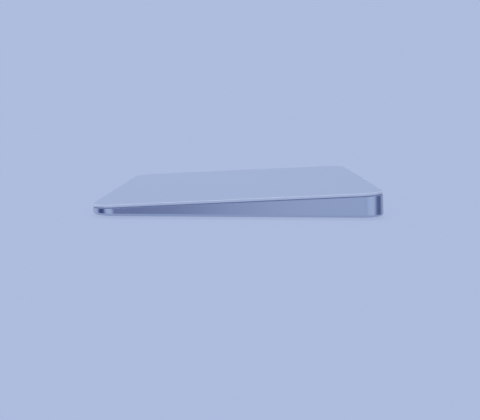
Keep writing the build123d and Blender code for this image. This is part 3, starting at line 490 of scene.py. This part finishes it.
def add_relief(tree, shader, pattern, depth):
    """Bump of this depth, in metres, from a pattern whose height runs from 0 to 1."""
    bump = add_node(tree, "Bump", {"Strength": 1.0, "Distance": depth})
    wire(tree, (pattern, "Height", bump, "Height"), (bump, "Normal", shader, "Normal"))


def grained(name, colour, roughness, grain=0.2 * MM, depth=0.004 * MM, mottle=0.06, metallic=0.0, **sockets):
    """Finish with an even grain in its gloss and relief: blasted metal, rubber, moulded plastic."""
    material, tree, shader = start_material(name, roughness, metallic, **sockets)
    add_mottle(tree, shader, colour, scale=60.0, amount=mottle)
    fine = place_group(tree, "Fine Grain", Scale=1 / grain, Low=roughness * 0.85, High=roughness * 1.15)
    wire(tree, (fine, "Value", shader, "Roughness"))
    add_relief(tree, shader, fine, depth)
    return material


def brushed(name, colour, roughness, stretch=(1.0, 60.0, 60.0), depth=0.003 * MM, mottle=0.08):
    """Rolled or brushed metal sheet."""
    material, tree, shader = start_material(name, roughness, metallic=1.0)
    add_mottle(tree, shader, colour, scale=90.0, amount=mottle)
    lines = place_group(
        tree, "Brushed Lines", Stretch=stretch, Scale=80.0, Low=roughness * 0.75, High=roughness * 1.3
    )
    wire(tree, (lines, "Value", shader, "Roughness"))
    add_relief(tree, shader, lines, depth)
    return material


def printed(name, mask, track, roughness, scale=900.0, depth=0.02 * MM):
    """Circuit board or flexible print with its tracks under a cover coat."""
    material, tree, shader = start_material(name, roughness, Coat_Weight=0.4)
    tracks = place_group(tree, "Board Tracks", Mask=mask, Track=track, Scale=scale)
    fine = place_group(tree, "Fine Grain", Scale=3000.0, Low=roughness * 0.8, High=roughness * 1.2)
    wire(tree, (tracks, "Colour", shader, "Base Color"), (fine, "Value", shader, "Roughness"))
    add_relief(tree, shader, tracks, depth)
    return material


def crinkled(name, colour, roughness, scale=160.0, depth=0.12 * MM):
    """Laminated foil of a battery pouch."""
    material, tree, shader = start_material(name, roughness, metallic=0.55)
    add_mottle(tree, shader, colour, scale=120.0, amount=0.2)
    creases = place_group(tree, "Foil Crinkle", Scale=scale)
    wire(tree, (creases, "Value", shader, "Roughness"))
    add_relief(tree, shader, creases, depth)
    return material


def layered(name, colour, groove, roughness, pitch, turn=(0.0, 0.0, 0.0), depth=0.05 * MM):
    """Metal in parallel ridges: wound wire or a stack of sheets, with painted shade in the troughs."""
    material, tree, shader = start_material(name, roughness, metallic=0.9)
    ridges = place_group(
        tree, "Ridged Layers", Colour=colour, Groove=groove, Turn=turn, Scale=WAVE_SCALE / pitch
    )
    wire(tree, (ridges, "Colour", shader, "Base Color"))
    add_relief(tree, shader, ridges, depth)
    return material


# Mesh helpers


def local_box(node, axes):
    """Lowest and highest corner of a CAD node at rest, measured along these axes."""
    back = axes.inverted()
    points = [back @ vertex.co for vertex in frame["nodes"][node].data.vertices]
    low = Vector([min(point[i] for point in points) for i in range(3)])
    high = Vector([max(point[i] for point in points) for i in range(3)])
    return low, high


def slab(low, high, corner=0.0, steps=16):
    """Closed slab between two corners, with its upright edges rounded."""
    bm = bmesh.new()
    add_slab(bm, low, high, corner, steps)
    return bm


def add_slab(bm, low, high, corner=0.0, steps=16):
    """Adds such a slab to a bmesh, and returns its vertices."""
    size, middle = high - low, (high + low) / 2
    before = set(bm.verts)
    made = bmesh.ops.create_grid(bm, x_segments=1, y_segments=1, size=0.5)
    bmesh.ops.scale(bm, vec=(size.x, size.y, 1.0), verts=made["verts"])
    if corner:
        bmesh.ops.bevel(
            bm, geom=made["verts"], offset=corner, offset_type="OFFSET", affect="VERTICES",
            segments=steps, profile=0.5, material=-1,
        )
    raise_faces(bm, [face for face in bm.faces if not before.intersection(face.verts)], size.z)
    verts = [vert for vert in bm.verts if vert not in before]
    bmesh.ops.translate(bm, vec=(middle.x, middle.y, low.z), verts=verts)
    return verts


def oblong(low, high, segments=96):
    """Closed block between two corners with half-round ends along X, or a disc if it is as wide as long."""
    size, middle = high - low, (high + low) / 2
    bm = bmesh.new()
    made = bmesh.ops.create_circle(bm, cap_ends=True, segments=segments, radius=size.y / 2)
    turn = Matrix.Rotation(pi / segments, 3, "Z")
    bmesh.ops.rotate(bm, verts=made["verts"], cent=(0.0, 0.0, 0.0), matrix=turn)
    for side in (-1, 1):
        end = [vert for vert in made["verts"] if vert.co.x * side > 0]
        bmesh.ops.translate(bm, vec=(side * (size.x - size.y) / 2, 0.0, 0.0), verts=end)
    raise_faces(bm, bm.faces[:], size.z)
    bmesh.ops.translate(bm, vec=(middle.x, middle.y, low.z), verts=bm.verts[:])
    return bm


def raise_faces(bm, faces, height):
    """Extrudes flat faces upward into a closed block."""
    raised = bmesh.ops.extrude_face_region(bm, geom=faces)
    lifted = [item for item in raised["geom"] if isinstance(item, bmesh.types.BMVert)]
    bmesh.ops.translate(bm, vec=(0.0, 0.0, height), verts=lifted)
    bmesh.ops.recalc_face_normals(bm, faces=bm.faces[:])


def level_edges(bm, height):
    """Edges that lie flat at this height."""
    return [edge for edge in bm.edges if all(abs(vert.co.z - height) < SAME for vert in edge.verts)]


def level_face(bm, height):
    """The largest face that lies flat at this height."""
    flat = [face for face in bm.faces if all(abs(vert.co.z - height) < SAME for vert in face.verts)]
    return max(flat, key=lambda face: face.calc_area())


def round_edges(bm, edges, radius, segments=4):
    bmesh.ops.bevel(
        bm, geom=edges, offset=radius, offset_type="OFFSET", affect="EDGES",
        segments=segments, profile=0.5, material=-1,
    )


def sink(bm, height, rim, slope, depth, steps=5):
    """Sinks the flat face at this height into a shallow dish, inside a rim, with an S-shaped border."""
    face = level_face(bm, height)
    bmesh.ops.inset_region(bm, faces=[face], thickness=rim, use_even_offset=True)
    for step in range(steps):
        share = 0.5 * (cos(pi * step / steps) - cos(pi * (step + 1) / steps))
        bmesh.ops.inset_region(
            bm, faces=[face], thickness=slope / steps, depth=-depth * share, use_even_offset=True
        )


def add_piece(name, bm, axes, body, materials, replaces=(), crease=35):
    """Turns a bmesh made along these axes into a finished piece on a CAD body."""
    bmesh.ops.remove_doubles(bm, verts=bm.verts[:], dist=SAME)
    bmesh.ops.recalc_face_normals(bm, faces=bm.faces[:])
    bmesh.ops.transform(bm, matrix=axes, verts=bm.verts[:])
    return link_mesh(name, bm, body, materials, replaces, crease)


def link_mesh(name, bm, body, materials, replaces=(), crease=35):
    """Smooth-shaded piece from a bmesh in its place, sharp where it turns more than the crease."""
    mesh = bpy.data.meshes.new(name)
    bm.to_mesh(mesh)
    bm.free()
    mesh.shade_smooth()
    mesh.set_sharp_from_angle(angle=radians(crease))
    piece = bpy.data.objects.new(name, mesh)
    bpy.context.scene.collection.objects.link(piece)
    for material in materials:
        mesh.materials.append(material)
    even = piece.modifiers.new("Even faces", "WEIGHTED_NORMAL")
    even.keep_sharp = True
    if body:
        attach(piece, body)
    if replaces:
        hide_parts(*replaces)
    return piece


def joined_copy(node):
    """Bmesh of a CAD node, with its loose triangles joined."""
    bm = bmesh.new()
    bm.from_mesh(frame["nodes"][node].data)
    bmesh.ops.remove_doubles(bm, verts=bm.verts[:], dist=CAD_JOIN)
    return bm


def bending_piece(name, node, start, end, material, steps=8):
    """Copy of a CAD node, cut across in even steps from start to end."""
    bm = joined_copy(node)
    for step in range(steps + 1):
        place = start.lerp(end, step / steps)
        geom = bm.verts[:] + bm.edges[:] + bm.faces[:]
        bmesh.ops.bisect_plane(bm, geom=geom, dist=SAME, plane_co=place, plane_no=end - start)
    piece = link_mesh(name, bm, None, [material], [node])
    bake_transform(piece)


def dress(nodes, material):
    """Gives CAD nodes, which keep their own meshes, a finished material."""
    for name in nodes:
        slots = frame["nodes"][name].data.materials
        slots.clear()
        slots.append(material)


def nodes_of(slot):
    """CAD nodes that the record gives this material slot."""
    return [part["node"] for part in frame["record"]["subparts"] if part["material_slot"] == slot]


def shade(colour, share):
    """Darker or lighter version of a colour, up to full light."""
    return tuple(min(1.0, value * share) for value in colour)


# One operator for each piece or group of like pieces


class TRACKPAD_OT_glass(bpy.types.Operator):
    """Model the glass touch plate with its rounded polished edge"""

    bl_idname = "trackpad.glass"
    bl_label = "Touch Glass"
    # Faces whose normal points up more than this are the etched face
    face_up = 0.9

    def execute(self, context):
        given = context.scene.trackpad_glass
        low, high = local_box("touch_glass", DECK)
        bm = slab(low, high, given.plan_corner, steps=28)
        round_edges(bm, level_edges(bm, low.z), given.under_chamfer, segments=1)
        round_edges(bm, level_edges(bm, high.z), given.edge_round, segments=6)
        for face in bm.faces:
            face.material_index = 0 if face.normal.z > self.face_up else 1
        etched = grained(
            "etched_glass", given.face_colour, given.roughness,
            grain=0.12 * MM, depth=0.001 * MM, mottle=0.025,
        )
        polished = self.polished_edge_highlight(given)
        finishes = [etched, polished]
        add_piece("glass_touch_plate", bm, DECK, "touch_platform", finishes, ["touch_glass"])
        return {"FINISHED"}

    def polished_edge_highlight(self, given):
        """Edge of the glass, which shows the studio more clearly than the etched face does; its colour, far
        lighter than the face, is a painted highlight along the edge.
        """
        polished, tree, shader = start_material(
            "polished_edge_highlight", roughness=0.16, Coat_Weight=0.3, Coat_Roughness=0.06
        )
        add_mottle(tree, shader, given.edge_highlight_colour, scale=90.0, amount=0.05)
        fine = place_group(tree, "Fine Grain", Scale=5000.0, Low=0.12, High=0.2)
        wire(tree, (fine, "Value", shader, "Roughness"))
        return polished


class TRACKPAD_OT_tray(bpy.types.Operator):
    """Finish the machined aluminium tray and the seal on its rim"""

    bl_idname = "trackpad.tray"
    bl_label = "Aluminium Tray"
    # CAD triangles that differ by less than this are one face
    flat_within = radians(0.3)

    def execute(self, context):
        given = context.scene.trackpad_tray
        bm = joined_copy("housing")
        bmesh.ops.dissolve_limit(bm, angle_limit=self.flat_within, verts=[], edges=bm.edges[:])
        metal = grained(
            "blasted_aluminium", given.metal_colour, given.roughness, grain=given.grain_size,
            depth=given.grain_depth, mottle=0.04, metallic=1.0,
        )
        link_mesh("aluminium_tray", bm, "base", [metal], ["housing"], crease=30)
        # Pale seal colour: painted light that lightens the shaded gap under the glass
        seal = grained(
            "seal_rubber_lightened", given.seal_gap_lightened_colour, roughness=0.6, grain=0.1 * MM, depth=0.01 * MM
        )
        dress(["edge_seal"], seal)
        return {"FINISHED"}


class TRACKPAD_OT_feet(bpy.types.Operator):
    """Model the four rubber feet with a ring groove"""

    bl_idname = "trackpad.feet"
    bl_label = "Rubber Feet"

    def execute(self, context):
        given = context.scene.trackpad_feet
        rubber = grained(
            "foot_rubber_finish", given.colour, roughness=0.62, grain=0.14 * MM, depth=0.012 * MM, mottle=0.1
        )
        under = Matrix.Rotation(radians(180), 4, "X")
        for node in nodes_of("foot_rubber"):
            low, high = local_box(node, under)
            bm = oblong(low, high, segments=72)
            round_edges(bm, level_edges(bm, high.z), given.edge_round, segments=5)
            inner = level_face(bm, high.z)
            bmesh.ops.inset_region(bm, faces=[inner], thickness=given.groove_inset)
            for depth in (-given.groove_depth, given.groove_depth):
                bmesh.ops.inset_region(bm, faces=[inner], thickness=given.groove_width, depth=depth)
            name = node.replace("foot_", "rubber_foot_")
            add_piece(name, bm, under, "base", [rubber], [node])
        return {"FINISHED"}


class TRACKPAD_OT_port(bpy.types.Operator):
    """Model the socket in the rear: shell, tongue and plated contacts"""

    bl_idname = "trackpad.port"
    bl_label = "Rear Port"
    # Places of the longer contacts, for power and ground
    early_contacts = (0, 3, 8, 11)

    def execute(self, context):
        given = context.scene.trackpad_port
        low, high = local_box("usb_port_shell", REAR)
        bm = slab(low, high, given.shell_corner, steps=10)
        for height in (low.z, high.z):
            bmesh.ops.inset_region(bm, faces=[level_face(bm, height)], thickness=given.shell_wall)
        ends = [level_face(bm, low.z), level_face(bm, high.z)]
        rings = [face.edges[:] for face in ends]
        bmesh.ops.delete(bm, geom=ends, context="FACES_ONLY")
        bmesh.ops.bridge_loops(bm, edges=rings[0] + rings[1])
        round_edges(bm, level_edges(bm, high.z), given.lip_round, segments=3)
        steel = brushed("socket_steel", given.shell_colour, roughness=0.28, stretch=(1.0, 40.0, 40.0))
        add_piece("socket_shell", bm, REAR, "base", [steel], ["usb_port_shell"])

        black = grained(
            "socket_moulding", given.tongue_colour, roughness=0.45, grain=0.1 * MM, depth=0.006 * MM
        )
        gold = grained(
            "plated_contacts", given.contact_colour, roughness=0.24,
            grain=0.08 * MM, depth=0.001 * MM, metallic=1.0,
        )
        bm = self.tongue(given)
        add_piece("socket_tongue", bm, REAR, "base", [black, gold], ["usb_port_insert"])
        return {"FINISHED"}

    def tongue(self, given):
        """Moulded block with the flat tongue in front of it, contacts set into both its faces."""
        low, high = local_box("usb_port_insert", REAR)
        corner = given.shell_corner - given.shell_wall
        bm = slab(low, Vector((high.x, high.y, low.z + given.back_length)), corner, steps=8)
        middle, half = (low.y + high.y) / 2, given.tongue_height / 2 - given.contact_step
        blade_low = Vector((-given.tongue_width / 2, low.z + given.back_length / 2, -middle - half))
        blade_high = Vector((given.tongue_width / 2, high.z, -middle + half))
        blade = add_slab(bm, blade_low, blade_high, given.tongue_corner, steps=8)
        rim = [edge for edge in bm.edges if len(set(edge.verts) & set(blade)) == 2]
        flat = [edge for edge in rim if abs(edge.verts[0].co.z - edge.verts[1].co.z) < SAME]
        before = {face for face in bm.faces if not set(face.verts) & set(blade)}
        round_edges(bm, flat, given.edge_round, segments=3)
        made = {vert for face in bm.faces if face not in before for vert in face.verts}
        for index in range(given.contact_count):
            place = (index - (given.contact_count - 1) / 2) * given.contact_pitch
            late = 0.0 if index in self.early_contacts else given.contact_late
            start = high.z - given.contact_start - late
            end = high.z - given.contact_start - given.contact_length
            for side in (-1, 1):
                outer, inner = side * given.tongue_height / 2, side * half * (1 - given.contact_bite)
                bottom, top = sorted((outer - middle, inner - middle))
                left, right = place - given.contact_width / 2, place + given.contact_width / 2
                strip = add_slab(bm, Vector((left, end, bottom)), Vector((right, start, top)))
                made.update(strip)
                for face in {face for vert in strip for face in vert.link_faces}:
                    face.material_index = 1
        bmesh.ops.transform(bm, matrix=REAR.inverted(), verts=list(made))
        return bm


class TRACKPAD_OT_switch(bpy.types.Operator):
    """Model the power slider and finish its film"""

    bl_idname = "trackpad.switch"
    bl_label = "Power Switch"

    def execute(self, context):
        given = context.scene.trackpad_switch
        white = grained("slider_plastic", given.slider_colour, roughness=0.38, grain=0.12 * MM)
        low, high = local_box("power_slider", REAR_WALL)
        back = high.z - given.cap_height
        bm = oblong(Vector((low.x, low.y, back)), high)
        round_edges(bm, level_edges(bm, back), given.edge_round / 2, segments=1)
        round_edges(bm, level_edges(bm, high.z), given.edge_round)
        sink(bm, high.z, given.dish_rim, given.dish_slope, given.dish_depth)
        middle, reach = (low + high) / 2, Vector((given.stem_width / 2, given.stem_height / 2, 0.0))
        stem_end = Vector((middle.x, middle.y, back + given.cap_height / 4)) + reach
        add_slab(bm, Vector((middle.x, middle.y, low.z)) - reach, stem_end, given.stem_height / 5, steps=4)
        add_piece("slider_cap", bm, REAR_WALL, "switch_slider", [white], ["power_slider"])
        green = grained("film_finish", given.film_colour, roughness=0.35, grain=0.1 * MM, depth=0.002 * MM)
        dress(["switch_film"], green)
        return {"FINISHED"}


class TRACKPAD_OT_inside(bpy.types.Operator):
    """Finish the pieces inside the tray"""

    bl_idname = "trackpad.inside"
    bl_label = "Inner Pieces"

    def execute(self, context):
        given = context.scene.trackpad_inner
        board, track = given.board_colour, given.track_colour
        amber, gold = given.amber_colour, shade(given.amber_colour, 1.6)
        # The darker copies of copper and steel are painted shade in the troughs between the wire's turns and the
        # sheets
        copper, wire_groove_shade = given.copper_colour, shade(given.copper_colour, 0.25)
        steel, sheet_groove_shade = given.steel_colour, shade(given.steel_colour, 0.35)
        tin, chip, cream = given.tin_colour, given.chip_colour, given.cream_colour
        quarter = (0.0, radians(90), 0.0)
        finishes = {
            "adhesive": grained("adhesive_film", shade(cream, 0.7), 0.6, 0.3 * MM, 0.01 * MM, mottle=0.15),
            "cell_foil": crinkled("pouch_foil", given.foil_colour, roughness=0.35),
            "circuit_board": printed("solder_mask", board, track, roughness=0.32),
            "chip_black": grained("chip_moulding", chip, 0.5, grain=0.12 * MM, depth=0.01 * MM),
            "tin_steel": brushed("tinned_sheet", tin, roughness=0.32),
            "nickel": brushed("nickel_strip", steel, roughness=0.3, stretch=(60.0, 1.0, 60.0)),
            "polyimide": printed("flexible_print", amber, gold, roughness=0.36, scale=700.0),
            "connector_plastic": grained("connector_moulding", cream, roughness=0.5, mottle=0.08),
            "screw_steel": grained("screw_finish", steel, roughness=0.3, metallic=1.0, mottle=0.12),
            "antenna_plastic": grained("antenna_moulding", chip, roughness=0.42, mottle=0.08),
            "antenna_copper": brushed("antenna_plating", copper, roughness=0.25),
            "core_steel": layered("core_stack", steel, sheet_groove_shade, roughness=0.4, pitch=0.15 * MM, turn=quarter),
            "coil_copper": layered("wound_wire", copper, wire_groove_shade, roughness=0.35, pitch=0.12 * MM),
            "gel": grained("gel_finish", tin, roughness=0.2, grain=0.5 * MM, Transmission_Weight=0.6),
            "stiffener_aluminium": brushed("stiffener_sheet", tin, roughness=0.35),
        }
        for slot, material in finishes.items():
            dress(nodes_of(slot), material)
        return {"FINISHED"}


class TRACKPAD_OT_springs(bpy.types.Operator):
    """Model the spring plates and the touch lead as copies cut across in steps over their bending zones"""

    bl_idname = "trackpad.springs"
    bl_label = "Spring Plates And Lead"

    def execute(self, context):
        given = context.scene.trackpad_inner
        steel = brushed("spring_sheet", given.steel_colour, roughness=0.26, stretch=(1.0, 80.0, 80.0))
        dress(["gel_plates"], steel)
        for node in (name for name in nodes_of("spring_steel") if name != "gel_plates"):
            side = -1 if node.endswith("left") else 1
            start = Vector((side * given.bend_start, 0.0, 0.0))
            end = Vector((side * given.bend_end, 0.0, 0.0))
            bending_piece(node.replace("bending", "spring"), node, start, end, steel)
        low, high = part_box("touch_flex")
        start = Vector((0.0, low[1] + (high[1] - low[1]) * given.lead_fixed_share, 0.0))
        end = Vector((0.0, low[1] + (high[1] - low[1]) * given.lead_moving_share, 0.0))
        lead_film = bpy.data.materials["flexible_print"]
        bending_piece("touch_lead", "touch_flex", start, end, lead_film)
        return {"FINISHED"}


class TRACKPAD_OT_stage(bpy.types.Operator):
    """Lay the floor, set the light and place the camera"""

    bl_idname = "trackpad.stage"
    bl_label = "Stage"

    def execute(self, context):
        given = context.scene.trackpad_stage
        self.lay_floor(given)
        self.light_world(context.scene, given)
        self.hang_key(given)
        self.place_camera(context.scene, given)
        context.scene.view_settings.view_transform = "Standard"
        return {"FINISHED"}

    def lay_floor(self, given):
        bm = bmesh.new()
        bmesh.ops.create_circle(bm, cap_ends=True, segments=96, radius=given.floor_reach)
        mesh = bpy.data.meshes.new("floor")
        bm.to_mesh(mesh)
        bm.free()
        floor = bpy.data.objects.new("floor", mesh)
        bpy.context.scene.collection.objects.link(floor)
        floor.visible_glossy = False
        mesh.materials.append(self.pale_card(given))

    def pale_card(self, given):
        """Matt card whose shadows stay soft for the camera, and which can be looked through from below."""
        card = grained(
            "pale_card", given.floor_colour, roughness=0.8, grain=0.4 * MM, mottle=0.02,
            Specular_IOR_Level=0.0,
        )
        tree = card.node_tree
        glow = add_node(tree, "Emission", {"Color": (*given.floor_colour, 1.0)})
        rays = add_node(tree, "LightPath")
        lift = add_node(tree, "Math", {1: given.shadow_lift}, operation="MULTIPLY")
        lifted = add_node(tree, "MixShader")
        side = add_node(tree, "NewGeometry")
        clear = add_node(tree, "BsdfTransparent")
        choose = add_node(tree, "MixShader")
        wire(
            tree,
            (rays, "Is Camera Ray", lift, 0),
            (lift, "Value", lifted, "Fac"),
            (tree.nodes["Principled BSDF"], "BSDF", lifted, 1),
            (glow, "Emission", lifted, 2),
            (side, "Backfacing", choose, "Fac"),
            (lifted, "Shader", choose, 1),
            (clear, "BSDF", choose, 2),
            (choose, "Shader", tree.nodes["Material Output"], "Surface"),
        )
        return card

    def light_world(self, scene, given):
        """Even fill for surfaces, the floor's colour past its edge, and the studio's walls in reflections."""
        world = bpy.data.worlds.new("studio")
        world.use_nodes = True
        scene.world = world
        tree = world.node_tree
        fill = tree.nodes["Background"]
        fill.inputs["Color"].default_value = (1.0, 1.0, 1.0, 1.0)
        fill.inputs["Strength"].default_value = given.fill_level
        far = add_node(tree, "Background", {"Color": (*given.floor_colour, 1.0)})
        walls = add_node(tree, "Background")
        rays = add_node(tree, "LightPath")
        through = add_node(tree, "Math", operation="MAXIMUM")
        in_gloss = add_node(tree, "MixShader")
        in_view = add_node(tree, "MixShader")
        wire(
            tree,
            (self.wall_colour(tree, given), "Result", walls, "Color"),
            (rays, "Is Glossy Ray", through, 0),
            (rays, "Is Transmission Ray", through, 1),
            (through, "Value", in_gloss, "Fac"),
            (fill, "Background", in_gloss, 1),
            (walls, "Background", in_gloss, 2),
            (rays, "Is Camera Ray", in_view, "Fac"),
            (in_gloss, "Shader", in_view, 1),
            (far, "Background", in_view, 2),
            (in_view, "Shader", tree.nodes["World Output"], "Surface"),
        )

    def wall_colour(self, tree, given):
        """Node with the walls' colour by direction: pale panels, darker gaps, and an even ceiling and pit."""
        place = add_node(tree, "TexCoord")
        parts = add_node(tree, "SeparateXYZ")
        turn = add_node(tree, "Math", operation="ARCTAN2")
        spread = add_node(tree, "MapRange", {"From Min": -pi, "From Max": pi})
        panels = add_node(tree, "ValToRGB")
        panels.color_ramp.interpolation = "EASE"
        stops = panels.color_ramp.elements
        while len(stops) < len(WALL_LEVELS):
            stops.new(0.5)
        for stop, (angle, level) in zip(stops, WALL_LEVELS):
            stop.position = angle / 360 + 0.5
            stop.color = (level, level, level, 1.0)
        slant = add_node(tree, "Math", operation="ABSOLUTE")
        high = add_node(
            tree, "MapRange", {"From Min": given.wall_top, "From Max": given.overhead_start},
            interpolation_type="SMOOTHSTEP",
        )
        overhead = add_node(tree, "Mix", {"B": given.overhead_level})
        mix = add_node(
            tree, "Mix", {"A": (*given.deep_colour, 1.0), "B": (*given.light_colour, 1.0)}, data_type="RGBA"
        )
        wire(
            tree,
            (place, "Generated", parts, "Vector"),
            (parts, "Y", turn, 0),
            (parts, "X", turn, 1),
            (turn, "Value", spread, "Value"),
            (spread, "Result", panels, "Fac"),
            (parts, "Z", slant, 0),
            (slant, "Value", high, "Value"),
            (high, "Result", overhead, "Factor"),
            (panels, "Color", overhead, "A"),
            (overhead, "Result", mix, "Factor"),
        )
        return mix

    def hang_key(self, given):
        lamp = bpy.data.lights.new("key", "SUN")
        lamp.energy = given.key_level * pi
        lamp.angle = given.key_softness
        key = bpy.data.objects.new("key", lamp)
        key.rotation_euler = given.key_turn
        key.visible_glossy = False
        bpy.context.scene.collection.objects.link(key)

    def place_camera(self, scene, given):
        lens = bpy.data.cameras.new("camera")
        lens.lens = given.camera_lens
        camera = bpy.data.objects.new("camera", lens)
        camera.location = given.camera_place
        camera.rotation_euler = given.camera_turn
        scene.collection.objects.link(camera)
        scene.camera = camera


PIECE_OPERATORS = (
    TRACKPAD_OT_glass,
    TRACKPAD_OT_tray,
    TRACKPAD_OT_feet,
    TRACKPAD_OT_port,
    TRACKPAD_OT_switch,
    TRACKPAD_OT_inside,
    TRACKPAD_OT_springs,
    TRACKPAD_OT_stage,
)


class TRACKPAD_PT_panel(bpy.types.Panel):
    """Lists the trackpad's pieces"""

    bl_idname = "TRACKPAD_PT_panel"
    bl_label = "Trackpad"
    bl_space_type = "VIEW_3D"
    bl_region_type = "UI"
    bl_category = "Trackpad"

    def draw(self, context):
        for operator in PIECE_OPERATORS:
            self.layout.operator(operator.bl_idname)
        for name, group in SETTINGS.items():
            box = self.layout.box()
            for field in group.__annotations__:
                box.prop(getattr(context.scene, name), field)


CLASSES = (*SETTINGS.values(), *PIECE_OPERATORS, TRACKPAD_PT_panel)


def register():
    for item in CLASSES:
        bpy.utils.register_class(item)
    for name, group in SETTINGS.items():
        setattr(bpy.types.Scene, name, bpy.props.PointerProperty(type=group))


def unregister():
    for name in SETTINGS:
        delattr(bpy.types.Scene, name)
    for item in reversed(CLASSES):
        bpy.utils.unregister_class(item)


def main():
    register()
    bpy.ops.trackpad.stage()
    bpy.ops.trackpad.glass()
    bpy.ops.trackpad.tray()
    bpy.ops.trackpad.feet()
    bpy.ops.trackpad.port()
    bpy.ops.trackpad.switch()
    bpy.ops.trackpad.inside()
    bpy.ops.trackpad.springs()


if __name__ == "__main__":
    main()
